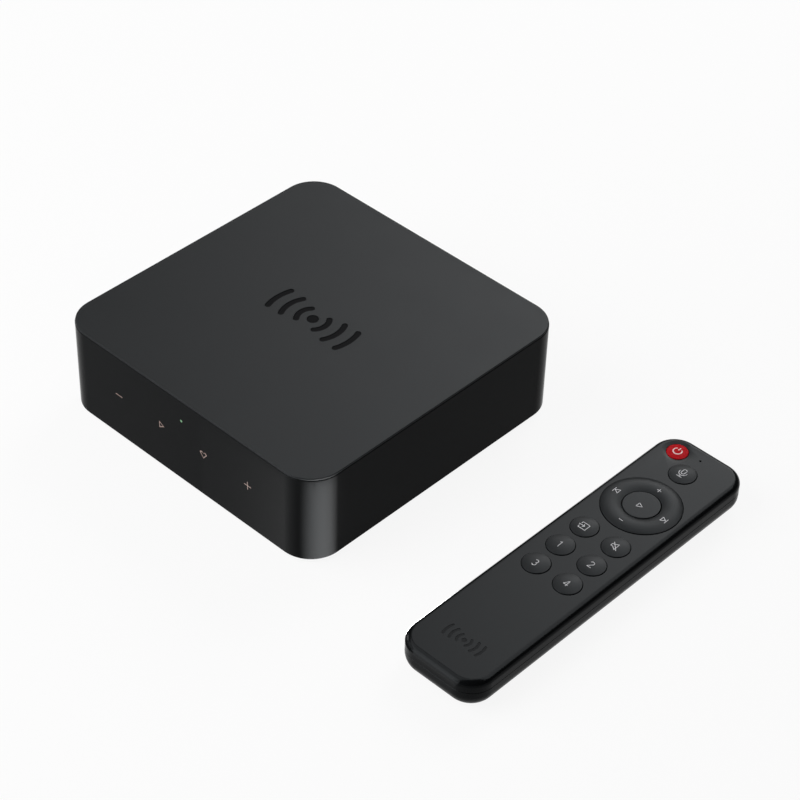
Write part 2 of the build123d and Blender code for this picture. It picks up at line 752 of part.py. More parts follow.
def make_jack_screws():
    """The screws through the rear panel into the two tall phono blocks."""
    screws = []
    for name in ("line_out", "line_in"):
        x, z = column[name], jack_screw_level
        end = panel_outer + JACK_SCREW_HEAD_HEIGHT
        screw = bar_along_y(JACK_SCREW_HEAD, (panel_outer, end), x, z)
        screw += bar_along_y(JACK_SCREW_SHANK, (panel_outer - JACK_SCREW_LENGTH, panel_outer), x, z)
        depth = (end - SCREW_SLOT, end + OVERRUN)
        wide = around(x, JACK_SCREW_HEAD * 1.2)
        screw -= block(wide, depth, around(z, SCREW_SLOT))
        tall = around(z, JACK_SCREW_HEAD * 1.2)
        screws.append(screw - block(around(x, SCREW_SLOT), depth, tall))
    return screws


def make_optical_socket(foot):
    """One optical socket: a box open to the rear, with the shutter's pin holes."""
    middle = column["optical"]
    body = block(
        around(middle, OPTICAL_WIDTH),
        (panel_inner - OPTICAL_DEPTH, panel_inner),
        (foot, foot + optical_height),
    )
    body -= block(
        around(middle, OPTICAL_WIDTH - 2 * OPTICAL_SIDE_WALL),
        (panel_inner - OPTICAL_DEPTH + OPTICAL_BACK_WALL, panel_inner + OVERRUN),
        (foot + OPTICAL_END_WALL, foot + optical_ceiling),
    )
    across = around(middle, OPTICAL_WIDTH + 2 * OVERRUN)
    return body - bar_along_x(SHUTTER_PIN + PIN_GAP, across, hinge_y, foot + hinge_rise)


def make_optical_shutter(foot):
    """The flap that closes an optical socket, hung on its two upper pins."""
    middle = column["optical"]
    level = foot + hinge_rise
    low = foot + mouth_low_rise - SHUTTER_COVER
    flap = block(around(middle, shutter_width), around(hinge_y, SHUTTER_THICKNESS), (low, level))
    flap += bar_along_x(SHUTTER_BARREL, around(middle, shutter_width), hinge_y, level)
    pins = OPTICAL_WIDTH - 2 * SHUTTER_GAP
    return flap + bar_along_x(SHUTTER_PIN, around(middle, pins), hinge_y, level)


def make_trigger_jack():
    """The small round jack socket, with its nose in the rear panel."""
    x = column["trigger"]
    z = board_high + TRIGGER_HEIGHT / 2
    depth = (panel_inner - TRIGGER_DEPTH, panel_inner)
    body = block(around(x, TRIGGER_WIDTH), depth, (board_high, board_high + TRIGGER_HEIGHT))
    body += bar_along_y(TRIGGER_NOSE, (panel_inner, panel_outer), x, z)
    hole = (panel_outer - TRIGGER_HOLE_DEPTH, panel_outer + OVERRUN)
    body -= bar_along_y(TRIGGER_HOLE, hole, x, z)
    lead = (panel_outer - TRIGGER_LEAD_DEPTH, panel_outer + OVERRUN)
    return body - bar_along_y(TRIGGER_LEAD, lead, x, z)


def make_ethernet_socket():
    """The network socket with its mouth and the notch for the plug's latch."""
    x = column["ethernet"]
    end = panel_outer + ETHERNET_PROUD
    body = block(
        around(x, ETHERNET_WIDTH),
        (end - ETHERNET_DEPTH, end),
        (board_high, board_high + ETHERNET_HEIGHT),
    )
    low = board_high + ETHERNET_MOUTH_RISE
    mouth = (end - ETHERNET_MOUTH_DEPTH, end + OVERRUN)
    body -= block(around(x, ETHERNET_MOUTH_WIDTH), mouth, (low, low + ETHERNET_MOUTH_HEIGHT))
    latch = (end - LATCH_DEPTH, end + OVERRUN)
    body -= block(around(x, LATCH_WIDTH), latch, (low - LATCH_HEIGHT, low))
    neck = (low - LATCH_HEIGHT - LATCH_NECK_HEIGHT, low - LATCH_HEIGHT)
    return body - block(around(x, LATCH_NECK_WIDTH), latch, neck)


def make_ethernet_pins():
    """The row of spring contacts along the roof of the network socket."""
    pins = []
    roof = board_high + ETHERNET_MOUTH_RISE + ETHERNET_MOUTH_HEIGHT
    back = panel_outer + ETHERNET_PROUD - ETHERNET_MOUTH_DEPTH
    for number in range(ETHERNET_PINS):
        x = column["ethernet"] + (number - (ETHERNET_PINS - 1) / 2) * ETHERNET_PIN_SPACING
        levels = (roof - ETHERNET_PIN_WIDTH, roof)
        pins.append(block(around(x, ETHERNET_PIN_WIDTH), (back, back + ETHERNET_PIN_LENGTH), levels))
    return pins


def power_outline(grow):
    """The long round outline of the power socket, grown all round."""
    width = POWER_WIDTH + 2 * grow
    height = POWER_HEIGHT + 2 * grow
    return SlotOverall(width, height)


def make_power_socket():
    """The power inlet: a thin oval sleeve with a flat tongue inside and a closed back."""
    x, z = column["power"], board_high + POWER_HEIGHT / 2
    end = panel_outer + POWER_PROUD
    sleeve = Rot(90, 0, 0) * extrude(power_outline(0), amount=POWER_DEPTH)
    hollow = Rot(90, 0, 0) * extrude(power_outline(-POWER_SHEET), amount=POWER_DEPTH)
    socket = Pos(x, end, z) * sleeve - Pos(x, end + POWER_TONGUE_SETBACK, z) * hollow
    tongue = (end - POWER_DEPTH, end - POWER_TONGUE_SETBACK)
    thick = around(z, POWER_TONGUE_THICKNESS)
    return socket + block(around(x, POWER_TONGUE_WIDTH), tongue, thick)


def make_main_board():
    """The main circuit board on its standoffs."""
    middle = (0, (board_front + board_rear) / 2)
    depth = board_rear - board_front
    board = slab(board_width, depth, BOARD_CORNER, (board_low, board_high), middle)
    for place in standoff_places():
        through = (board_low - OVERRUN, board_high + OVERRUN)
        board -= post(BOARD_SCREW_SHANK + FIT_GAP, through, place)
    return board


def make_board_screws():
    """Four screws that hold the main board."""
    screws = []
    for place in standoff_places():
        top = board_high + BOARD_SCREW_HEAD_HEIGHT
        screw = post(BOARD_SCREW_HEAD, (board_high, top), place)
        screw += post(BOARD_SCREW_SHANK, (board_high - BOARD_SCREW_LENGTH + FIT_GAP, board_high), place)
        slot = (top - SCREW_SLOT, top + OVERRUN)
        screws.append(screw - cross_slot(BOARD_SCREW_HEAD, slot, place))
    return screws


def make_shield():
    """The sheet-metal cover over the processor and its memory."""
    levels = (board_high, board_high + SHIELD_HEIGHT)
    can = block(around(0, SHIELD_WIDTH), around(0, SHIELD_DEPTH), levels)
    inside = (board_high - OVERRUN, board_high + SHIELD_HEIGHT - SHIELD_SHEET)
    width = SHIELD_WIDTH - 2 * SHIELD_SHEET
    depth = SHIELD_DEPTH - 2 * SHIELD_SHEET
    return can - block(around(0, width), around(0, depth), inside)


def processor_middle():
    """The processor sits left of the middle, under the shield."""
    return -SHIELD_WIDTH / 2 + PROCESSOR_WIDTH


def make_processor():
    """The processor chip."""
    square = around(processor_middle(), PROCESSOR_WIDTH)
    return block(square, around(0, PROCESSOR_WIDTH), (board_high, board_high + PROCESSOR_HEIGHT))


def make_thermal_pad():
    """The soft pad that carries heat from the processor to the shield."""
    levels = (board_high + PROCESSOR_HEIGHT, board_high + SHIELD_HEIGHT - SHIELD_SHEET)
    square = around(processor_middle(), PROCESSOR_WIDTH)
    return block(square, around(0, PROCESSOR_WIDTH), levels)


def make_memory():
    """Two memory chips to the right of the processor."""
    levels = (board_high, board_high + MEMORY_HEIGHT)
    x = processor_middle() + PROCESSOR_WIDTH + MEMORY_WIDTH / 2
    reach = MEMORY_WIDTH / 2 + FIT_GAP * 2
    return [block(around(x, MEMORY_WIDTH), around(y, MEMORY_WIDTH), levels) for y in (-reach, reach)]


def make_converters():
    """The chips that turn the music between numbers and sound, in front of the line sockets."""
    levels = (board_high, board_high + CONVERTER_HEIGHT)
    y = panel_inner - PHONO_BLOCK_DEPTH - CONVERTER_WIDTH * 3
    chips = []
    for name in ("line_out", "line_in"):
        chips.append(block(around(column[name], CONVERTER_WIDTH), around(y, CONVERTER_WIDTH), levels))
    return chips


def make_capacitors():
    """Two rows of smoothing capacitors beside the converters."""
    cans = []
    start = SHIELD_WIDTH / 2 + CAPACITOR_SPACING
    for row in range(2):
        for number in range(3):
            place = (start + number * CAPACITOR_SPACING, -SHIELD_DEPTH / 2 + row * CAPACITOR_SPACING)
            cans.append(post(CAPACITOR_RADIUS, (board_high, board_high + CAPACITOR_HEIGHT), place))
    return cans


def make_touch_board():
    """The board behind the front wall that feels a finger on each sign."""
    depth = (front_inner, front_inner + TOUCH_THICKNESS)
    board = block(around(0, TOUCH_WIDTH), depth, (touch_low, touch_high))
    through = (front_inner - OVERRUN, front_inner + TOUCH_THICKNESS + OVERRUN)
    for x, z in lamp_places():
        board -= bar_along_y(LAMP_HOLE, through, x, z)
    return board


def lamp_places():
    """A lamp behind each sign and one behind the status light."""
    return [(x, sign_level) for x in sign_shapes(0)] + [(0, light_level)]


def make_lamps():
    """The small lamps on the back of the touch board."""
    lamps = []
    back = front_inner + TOUCH_THICKNESS
    for x, z in lamp_places():
        depth = (back, back + LAMP_THICKNESS)
        lamps.append(block(around(x, LAMP_WIDTH), depth, around(z, LAMP_HEIGHT)))
    return lamps


def make_status_light():
    """The clear pipe that brings the status light to the front face."""
    ends = (front_face, front_inner + TOUCH_THICKNESS)
    return bar_along_y(LIGHT_RADIUS, ends, 0, light_level)


def make_touch_ribbon():
    """The flat ribbon from the touch board down to the main board."""
    x = (SIGN_INNER_SPACING + SIGN_OUTER_SPACING) / 2
    start = (x, front_inner + TOUCH_THICKNESS, touch_low + RIBBON_START)
    turn_out = (x, start[1] + RIBBON_OUT, start[2])
    lap_level = board_high + RIBBON_THICKNESS / 2
    turn_down = (x, turn_out[1], lap_level)
    reach = max(board_front, turn_out[1]) + RIBBON_LAP + RIBBON_BEND
    path = FilletPolyline(start, turn_out, turn_down, (x, reach, lap_level), radius=RIBBON_BEND)
    section = Plane(origin=path @ 0, x_dir=(1, 0, 0), z_dir=path % 0)
    return sweep(section * Rectangle(RIBBON_WIDTH, RIBBON_THICKNESS), path=path)


def make_aerials():
    """The two aerial strips stuck to the side walls."""
    strips = []
    for side in (-1, 1):
        wall = side * inner_width / 2
        span = tuple(sorted((wall, wall - side * AERIAL_THICKNESS)))
        strips.append(block(span, around(0, AERIAL_LENGTH), (aerial_low, aerial_high)))
    return strips


def make_aerial_leads():
    """The thin leads from the aerials to their round plugs on the board."""
    leads = []
    for side in (-1, 1):
        start_x = side * (inner_width / 2 - AERIAL_THICKNESS)
        level = (aerial_low + aerial_high) / 2
        drop_x = start_x - side * LEAD_OUT
        plug_top = board_high + LEAD_PLUG_HEIGHT
        lap = plug_top + LEAD_OUT
        plug_x = drop_x - side * LEAD_RUN
        corners_of_path = [(start_x, 0, level), (drop_x, 0, level), (drop_x, 0, lap)]
        corners_of_path += [(plug_x, 0, lap), (plug_x, 0, plug_top)]
        path = FilletPolyline(*corners_of_path, radius=LEAD_BEND)
        section = Plane(origin=path @ 0, z_dir=path % 0)
        lead = sweep(section * Circle(LEAD_RADIUS), path=path)
        leads.append(lead + post(LEAD_PLUG_RADIUS, (board_high, plug_top), (plug_x, 0)))
    return leads


def remote_form(inset):
    """The remote's whole rounded body, drawn in by an inset on every side."""
    body = slab(
        REMOTE_WIDTH - 2 * inset,
        remote_length - 2 * inset,
        REMOTE_CORNER - inset,
        (inset, remote_thickness - inset),
    )
    body = fillet(body.edges().group_by(Axis.Z)[0], REMOTE_BACK_ROUND - inset)
    return fillet(body.edges().group_by(Axis.Z)[-1], REMOTE_TOP_ROUND - inset)


def remote_outline(inset, z):
    """An upright slab with the remote's outline, drawn in by an inset."""
    width = REMOTE_WIDTH - 2 * inset
    return slab(width, remote_length - 2 * inset, REMOTE_CORNER - inset, z)


def remote_half(z):
    """The part of the remote's body between two levels."""
    return remote_form(0) & remote_outline(-OVERRUN, z)


def key_profile(radius, flange_radius, stem_low, flange, edge_level, crown):
    """A turned key: stem, flange, round edge and a domed top."""
    flange_low, flange_top = flange
    bend = KEY_EDGE_ROUND * (1 - 0.5**0.5)
    rim = (radius - KEY_EDGE_ROUND, edge_level)
    side = Polyline(
        (0, edge_level + crown),
        (0, stem_low),
        (KEY_STEM_RADIUS, stem_low),
        (KEY_STEM_RADIUS, flange_low),
        (flange_radius, flange_low),
        (flange_radius, flange_top),
        (radius, flange_top),
        (radius, edge_level - KEY_EDGE_ROUND),
    )
    edge = ThreePointArc(side @ 1, (radius - bend, edge_level - bend), rim)
    sphere = (rim[0] ** 2 + crown**2) / (2 * crown)
    half_way = rim[0] / 2
    rise = crown - sphere + (sphere**2 - half_way**2) ** 0.5
    top = ThreePointArc(rim, (half_way, edge_level + rise), (0, edge_level + crown))
    return revolve(Plane.XZ * make_face([side, edge, top]), axis=Axis.Z)


def make_small_key(place):
    """A domed round key."""
    flange = (key_flange_top - KEY_FLANGE, key_flange_top)
    edge_level = remote_thickness + KEY_EDGE_RISE
    key = key_profile(KEY_RADIUS, key_reach, key_stem_low, flange, edge_level, KEY_CROWN)
    return Pos(*place) * key


def make_power_key():
    """The red key, level with the face in its shallow dish."""
    flange = (key_flange_top - KEY_FLANGE, key_flange_top)
    reach = POWER_KEY_RADIUS + KEY_FLANGE_REACH
    edge_level = remote_thickness - POWER_KEY_EDGE_DROP
    key = key_profile(POWER_KEY_RADIUS, reach, key_stem_low, flange, edge_level, POWER_KEY_CROWN)
    return Pos(*power_key_at) * key


def make_play_key():
    """The nearly flat key in the middle of the ring, held by a flange under the ring."""
    flange = (play_flange_low, play_flange_low + PLAY_FLANGE)
    reach = PLAY_RADIUS + PLAY_FLANGE_REACH
    edge_level = remote_thickness + PLAY_RISE
    key = key_profile(PLAY_RADIUS, reach, key_stem_low, flange, edge_level, PLAY_CROWN)
    return Pos(*ring_at) * key


def ridge(start, end):
    """A straight ridge that points down from level zero, along +X."""
    outline = Polygon(
        (-RIDGE_WIDTH / 2, 0), (RIDGE_WIDTH / 2, 0), (0, -RIDGE_HEIGHT), align=None
    )
    return Pos(start, 0, 0) * Rot(90, 0, 90) * extrude(outline, amount=end - start)


def ridges(turns, level):
    """A pair of ridges under a ring, in line with each other."""
    inner = ROCKER_INNER + RIDGE_GAP
    outer = ROCKER_OUTER - RIDGE_GAP
    return [Pos(0, 0, level) * Rot(0, 0, turn) * ridge(inner, outer) for turn in turns]


def make_navigation_ring():
    """The four-way ring with its rounded crown, which rocks on two ridges to left and right."""
    middle = (ring_inner + RING_OUTER) / 2
    side = Polyline(
        (ring_inner, remote_thickness + RING_INNER_RISE),
        (ring_inner, ring_low),
        (RING_OUTER + RING_FLANGE_REACH, ring_low),
        (RING_OUTER + RING_FLANGE_REACH, ring_flange_top),
        (RING_OUTER, ring_flange_top),
        (RING_OUTER, remote_thickness + RING_OUTER_RISE),
    )
    crown = ThreePointArc(side @ 1, (middle, remote_thickness + RING_CROWN), side @ 0)
    ring = revolve(Plane.XZ * make_face([side, crown]), axis=Axis.Z)
    for piece in ridges((90, 270), ring_low):
        ring += piece
    return Pos(*ring_at) * ring


def make_ring_rocker():
    """The carrier under the ring, which rocks on two ridges towards the far and near end."""
    carrier = post(ROCKER_OUTER, (rocker_low, rocker_high))
    carrier -= post(ROCKER_INNER, (rocker_low - OVERRUN, rocker_high + OVERRUN))
    for piece in ridges((0, 180), rocker_low):
        carrier += piece
    return Pos(*ring_at) * carrier


def make_remote_upper_case():
    """The face and upper sides of the remote, with the key holes."""
    shell = remote_half((remote_part_level, remote_thickness + OVERRUN))
    shell = chamfer(shell.edges().group_by(Axis.Z)[0], REMOTE_PART_LINE)
    shell -= remote_form(REMOTE_WALL)
    rebate = (remote_part_level - OVERRUN, remote_part_level + LIP_HEIGHT + LIP_GAP)
    shell -= remote_outline(REMOTE_WALL - LIP_THICKNESS - LIP_GAP, rebate)
    through = (remote_part_level, remote_thickness + OVERRUN)
    for place in small_keys.values():
        shell -= post(KEY_RADIUS + KEY_SIDE_GAP, through, place)
    shell -= post(RING_OUTER + RING_SIDE_GAP, through, ring_at)
    shell -= post(POWER_KEY_RADIUS + KEY_SIDE_GAP, through, power_key_at)
    shell -= post(PINHOLE_RADIUS, through, (0, pinhole_place))
    dish = (POWER_DISH_RADIUS**2 + POWER_DISH_DEPTH**2) / (2 * POWER_DISH_DEPTH)
    level = remote_thickness + dish - POWER_DISH_DEPTH
    shell -= Pos(power_key_at[0], power_key_at[1], level) * Sphere(dish)
    level = remote_thickness - REMOTE_MARK_DEPTH
    pocket = Pos(0, mark_place, level) * wave_mark(REMOTE_MARK_SHARE, 0)
    return shell - extrude(pocket, amount=REMOTE_MARK_DEPTH + OVERRUN)


def make_remote_mark():
    """The small sound-wave inlay near the end of the remote."""
    level = remote_thickness - REMOTE_MARK_DEPTH
    flat = Pos(0, mark_place, level) * wave_mark(REMOTE_MARK_SHARE, SHUT_GAP)
    return extrude(flat, amount=REMOTE_MARK_DEPTH - REMOTE_MARK_SINK)


def door_region(grow):
    """The space at the near end that the battery door fills."""
    half = DOOR_WIDTH / 2 + grow
    depth = (remote_near - OVERRUN, bay_high - 2 * FIT_GAP + grow)
    return block((-half, half), depth, (-OVERRUN, DOOR_END_HEIGHT + grow))


def door_rails(gap, reach_y, inner_x):
    """The two rails on the door's sides, or with a gap the channels that they slide in."""
    rails = []
    for side in (-1, 1):
        ends = (side * inner_x, side * (DOOR_WIDTH / 2 + RAIL_WIDTH + gap))
        levels = (rail_low - gap, rail_high + gap)
        rails.append(block(tuple(sorted(ends)), reach_y, levels))
    return rails


def board_post_places():
    """The posts under the remote's board, in two lines."""
    side = REMOTE_WIDTH / 2 - REMOTE_WALL - REMOTE_BOARD_INSET - 2 * BOARD_POST_RADIUS
    start = bay_high + BAY_WALL + 2 * BOARD_POST_RADIUS
    end = remote_far - REMOTE_CORNER
    step = (end - start) / (BOARD_POST_ROWS - 1)
    return [(x, start + row * step) for x in (-side, side) for row in range(BOARD_POST_ROWS)]


def make_remote_lower_case():
    """The crowned back of the remote with the battery bay and the posts for its board."""
    shell = remote_half((-OVERRUN, remote_part_level))
    shell = chamfer(shell.edges().group_by(Axis.Z)[-1], REMOTE_PART_LINE)
    shell -= remote_form(REMOTE_WALL)
    shell -= door_region(FIT_GAP)
    for channel in door_rails(FIT_GAP, (remote_near - OVERRUN, rail_start), 0):
        shell -= channel
    lip = (remote_part_level, remote_part_level + LIP_HEIGHT)
    overlap = (remote_part_level - LIP_HEIGHT, remote_part_level + LIP_HEIGHT)
    rim = remote_outline(REMOTE_WALL - LIP_THICKNESS, lip)
    rim += remote_outline(REMOTE_WALL / 2, (overlap[0], lip[0]))
    shell += rim - remote_outline(REMOTE_WALL, (overlap[0] - OVERRUN, lip[1] + OVERRUN))
    across = around(0, REMOTE_WIDTH)
    above_door = (bay_wall_low, remote_part_level)
    walls = block(across, (bay_low - BAY_WALL, bay_low), above_door)
    walls += block(across, (bay_high, bay_high + BAY_WALL), (0, remote_part_level))
    for side in (-1, 1):
        span = tuple(sorted((side * bay_half, side * (bay_half + BAY_WALL))))
        walls += block(span, (bay_low - BAY_WALL, bay_high + BAY_WALL), above_door)
    for place in board_post_places():
        walls += post(BOARD_POST_RADIUS, (0, remote_board_low), place)
    return shell + (walls & remote_form(REMOTE_WALL / 2))


def make_battery_door():
    """The door in the back, which slides off over the near end."""
    plate = (remote_form(0) & door_region(0)) - remote_form(REMOTE_WALL)
    long_way = (rail_start, bay_high - 2 * FIT_GAP)
    for rail in door_rails(0, long_way, DOOR_WIDTH / 2 - RAIL_LAP):
        plate += rail
    for side in (-1, 1):
        span = tuple(sorted((side * (DOOR_WIDTH / 2 - RAIL_LAP), side * DOOR_WIDTH / 2)))
        plate += block(span, long_way, (REMOTE_WALL / 2, rail_low))
    for number in range(GRIP_GROOVES):
        y = bay_low + GRIP_FROM_END + number * GRIP_SPACING
        plate -= block(around(0, GRIP_WIDTH), around(y, GRIP_SPACING / 2), (-OVERRUN, GRIP_DEPTH))
    return plate


def make_cells():
    """The two battery cells, side by side and end for end."""
    cells = []
    for side in (-1, 1):
        length = CELL_LENGTH - CELL_NUB_LENGTH
        cell = fillet(Cylinder(CELL_DIAMETER / 2, length).edges(), CELL_EDGE)
        nub_middle = (length + CELL_NUB_LENGTH) / 2
        cell += Pos(0, 0, nub_middle) * Cylinder(CELL_NUB_RADIUS, CELL_NUB_LENGTH)
        if side < 0:
            nub_end = bay_high - CONTACT_SHEET
        else:
            nub_end = bay_low + CONTACT_SHEET
        middle = nub_end + side * (CELL_NUB_LENGTH + length / 2)
        cells.append(Pos(side * cell_offset, middle, cell_level) * Rot(side * 90, 0, 0) * cell)
    return cells


def make_cell_contacts():
    """A sprung contact for the flat end of each cell and a flat one for its nub."""
    contacts = []
    tall = around(cell_level, CONTACT_WIDTH * 1.5)
    for side in (-1, 1):
        x = side * cell_offset
        wide = around(x, CONTACT_WIDTH)
        flat_wall = bay_high if side < 0 else bay_low
        flat_ends = tuple(sorted((flat_wall, flat_wall + side * CONTACT_SHEET)))
        contacts.append(block(wide, flat_ends, tall))
        wall = bay_low if side < 0 else bay_high
        sheet = tuple(sorted((wall, wall - side * CONTACT_SHEET)))
        spring = block(wide, sheet, tall)
        foot = CONTACT_SHEET
        tip = CONTACT_SHEET + CONTACT_SPRING - SPRING_GAP
        half = CONTACT_WIDTH / 2
        leaf = Polygon(
            (foot, half), (tip, CONTACT_SHEET), (tip, -CONTACT_SHEET), (foot, -half),
            (foot, -half + CONTACT_SHEET), (tip - CONTACT_SHEET, 0), (foot, half - CONTACT_SHEET),
            align=None,
        )
        leaf = Rot(90, 0, 90) * extrude(leaf, amount=CONTACT_WIDTH / 2)
        if side > 0:
            leaf = Rot(0, 0, 180) * leaf
        spring += Pos(x + side * CONTACT_WIDTH / 4, wall, cell_level) * leaf
        contacts.append(spring)
    return contacts


def keypad_board(z):
    """A slab with the outline that the remote's board and membrane share."""
    inset = REMOTE_WALL + REMOTE_BOARD_INSET
    ends = (bay_high + BAY_WALL + 2 * FIT_GAP, remote_far - inset)
    middle = (0, sum(ends) / 2)
    return slab(REMOTE_WIDTH - 2 * inset, ends[1] - ends[0], REMOTE_CORNER - inset, z, middle)


def dome_places():
    """A switch under each key, and four under the ring."""
    places = list(small_keys.values()) + [power_key_at, ring_at]
    for step_x, step_y in ((1, 0), (-1, 0), (0, 1), (0, -1)):
        places.append((step_x * dome_ring, ring_place + step_y * dome_ring))
    return places


def make_remote_board():
    """The remote's circuit board on its posts."""
    return keypad_board((remote_board_low, membrane_low))


def make_membrane():
    """The rubber sheet between the keys and the switches, with a pocket over each switch."""
    sheet = keypad_board((membrane_low, membrane_high))
    for place in dome_places():
        pocket = (membrane_low - OVERRUN, membrane_low + DOME_POCKET_DEPTH)
        sheet -= post(DOME_RADIUS + DOME_HEIGHT, pocket, place)
    return sheet


def make_domes():
    """The snap switches on the remote's board."""
    levels = (membrane_low, membrane_low + DOME_HEIGHT)
    return [post(DOME_RADIUS, levels, place) for place in dome_places()]


def make_capsule():
    """The microphone behind the pinhole."""
    return post(CAPSULE_RADIUS, (remote_ceiling - CAPSULE_HEIGHT, remote_ceiling), (0, pinhole_place))


lower_optical, upper_optical = optical_feet()
phono = phono_places()
streamer = {
    "side_housing": make_side_housing(),
    "top_plate": make_top_plate(),
    "top_mark": make_top_mark(),
    "base_plate": make_base_plate(),
    "foot_pad": make_foot_pad(),
    "base_screws": make_base_screws(),
    "rear_panel": make_rear_panel(),
    "jack_screws": make_jack_screws(),
    "main_board": make_main_board(),
    "board_screws": make_board_screws(),
    "shield_can": make_shield(),
    "processor_chip": make_processor(),
    "memory_chips": make_memory(),
    "thermal_pad": make_thermal_pad(),
    "converter_chips": make_converters(),
    "smoothing_capacitors": make_capacitors(),
    "line_out_block": make_phono_block("line_out", phono_high),
    "line_in_block": make_phono_block("line_in", phono_high),
    "coax_block": make_phono_block("coax", phono_low),
    "phono_sleeves": make_phono_sleeves(),
    "left_channel_inserts": make_phono_inserts([phono[0], phono[2]]),
    "right_channel_inserts": make_phono_inserts([phono[1], phono[3]]),
    "coax_insert": make_phono_inserts([phono[4]]),
    "optical_in_socket": make_optical_socket(lower_optical),
    "optical_out_socket": make_optical_socket(upper_optical),
    "optical_in_shutter": make_optical_shutter(lower_optical),
    "optical_out_shutter": make_optical_shutter(upper_optical),
    "trigger_jack": make_trigger_jack(),
    "ethernet_socket": make_ethernet_socket(),
    "ethernet_contacts": make_ethernet_pins(),
    "power_socket": make_power_socket(),
    "touch_board": make_touch_board(),
    "indicator_lamps": make_lamps(),
    "touch_signs": front_signs(SHUT_GAP),
    "status_light": make_status_light(),
    "touch_ribbon": make_touch_ribbon(),
    "aerial_strips": make_aerials(),
    "aerial_leads": make_aerial_leads(),
}
remote = {
    "remote_upper_case": make_remote_upper_case(),
    "remote_lower_case": make_remote_lower_case(),
    "remote_mark": make_remote_mark(),
    "battery_door": make_battery_door(),
    "battery_cells": make_cells(),
    "battery_contacts": make_cell_contacts(),
    "remote_board": make_remote_board(),
    "keypad_membrane": make_membrane(),
    "dome_switches": make_domes(),
    "microphone_capsule": make_capsule(),
    "power_key": make_power_key(),
    "play_key": make_play_key(),
    "navigation_ring": make_navigation_ring(),
    "ring_rocker": make_ring_rocker(),
}
for name, place in small_keys.items():
    remote[name] = make_small_key(place)


def write_piece(name, shape, place):
    """Writes one piece, as one solid or as a group of separate ones."""
    if isinstance(shape, list):
        shape = Compound(children=[solid for item in shape for solid in item.solids()])
    elif len(shape.solids()) > 1:
        shape = Compound(children=list(shape.solids()))
    else:
        shape = shape.solid()
    shape = place * shape
    shape.label = name
    export_step(shape, f"parts/{name}.step")


os.makedirs("parts", exist_ok=True)
for name, shape in streamer.items():
    write_piece(name, shape, Pos(0, 0, 0))
for name, shape in remote.items():
    write_piece(name, shape, Pos(remote_x, REMOTE_Y, 0))
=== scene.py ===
import json
import math
from itertools import product

import bmesh
import bpy
from bpy.props import FloatProperty, FloatVectorProperty, IntProperty, PointerProperty
from mathutils import Matrix, Vector


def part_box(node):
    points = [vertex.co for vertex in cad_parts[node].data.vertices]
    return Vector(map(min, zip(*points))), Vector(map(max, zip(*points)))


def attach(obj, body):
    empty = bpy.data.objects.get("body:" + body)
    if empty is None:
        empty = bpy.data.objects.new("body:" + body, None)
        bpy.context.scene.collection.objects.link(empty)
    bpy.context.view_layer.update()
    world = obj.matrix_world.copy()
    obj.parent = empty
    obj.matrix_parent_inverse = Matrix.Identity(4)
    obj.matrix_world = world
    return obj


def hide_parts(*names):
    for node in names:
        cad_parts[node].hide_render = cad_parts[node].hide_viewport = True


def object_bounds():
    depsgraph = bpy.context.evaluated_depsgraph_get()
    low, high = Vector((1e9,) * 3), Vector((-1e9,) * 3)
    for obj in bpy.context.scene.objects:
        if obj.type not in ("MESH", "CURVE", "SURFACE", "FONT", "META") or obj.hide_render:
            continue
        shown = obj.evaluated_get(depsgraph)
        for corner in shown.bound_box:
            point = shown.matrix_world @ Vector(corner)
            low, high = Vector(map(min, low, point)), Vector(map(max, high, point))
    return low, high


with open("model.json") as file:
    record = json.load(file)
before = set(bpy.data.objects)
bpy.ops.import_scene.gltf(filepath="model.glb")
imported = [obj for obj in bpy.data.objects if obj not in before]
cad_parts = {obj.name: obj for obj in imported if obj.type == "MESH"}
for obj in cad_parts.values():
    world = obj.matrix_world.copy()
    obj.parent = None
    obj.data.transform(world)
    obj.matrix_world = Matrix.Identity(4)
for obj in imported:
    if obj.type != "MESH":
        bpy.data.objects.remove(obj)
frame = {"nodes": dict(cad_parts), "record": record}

# The looks of a small square music streamer and of the remote that lies beside it.
# Lengths are in metres in the part's own frame; the signs and the near corner are in millimetres.

cad_low, cad_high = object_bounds()

bl_info = {
    "name": "Music streamer and remote",
    "version": (1, 0, 0),
    "blender": (4, 5, 0),
    "location": "3D View > Sidebar > Streamer",
    "description": "Makes the surfaces, keys, prints and sockets of a music streamer and its remote",
    "category": "Object",
}

MM = 0.001
JOIN_DISTANCE = 0.001 * MM
ALIKE_DISTANCE = 0.01 * MM
SHARP_ANGLE = math.radians(24)
EDGE_STEPS = 6
CROWN_STEPS = 24
RING_TURN_STEPS = 160
NORMAL_WEIGHT = 100
PRINT_STEP = 0.12 * MM
PRINT_SINK_SHARE = 1 / 3

# The photograph's camera, solved from the outline of the box; its axes point right, up and back
CAMERA_PLACE = (0.52364, -0.51785, 0.63444)
CAMERA_AXES = ((0.7212, 0.6923, 0.0255), (-0.4657, 0.4572, 0.7576), (0.5129, -0.5583, 0.6522))
SENSOR_WIDTH = 36.0
CLIP_START = 0.01

NUMBER_KEYS = tuple(f"number_key_{number}" for number in range(1, 5))
SMALL_KEYS = ("input_key", "mute_key", *NUMBER_KEYS, "microphone_key")


def arc(centre, radius, start, end, steps=16):
    """Points of an arc between two angles in degrees."""
    angles = [math.radians(start + (end - start) * step / steps) for step in range(steps + 1)]
    return [(centre[0] + radius * math.cos(a), centre[1] + radius * math.sin(a)) for a in angles]


def closed(points):
    """A line of points that comes back to its first point."""
    return list(points) + [points[0]]


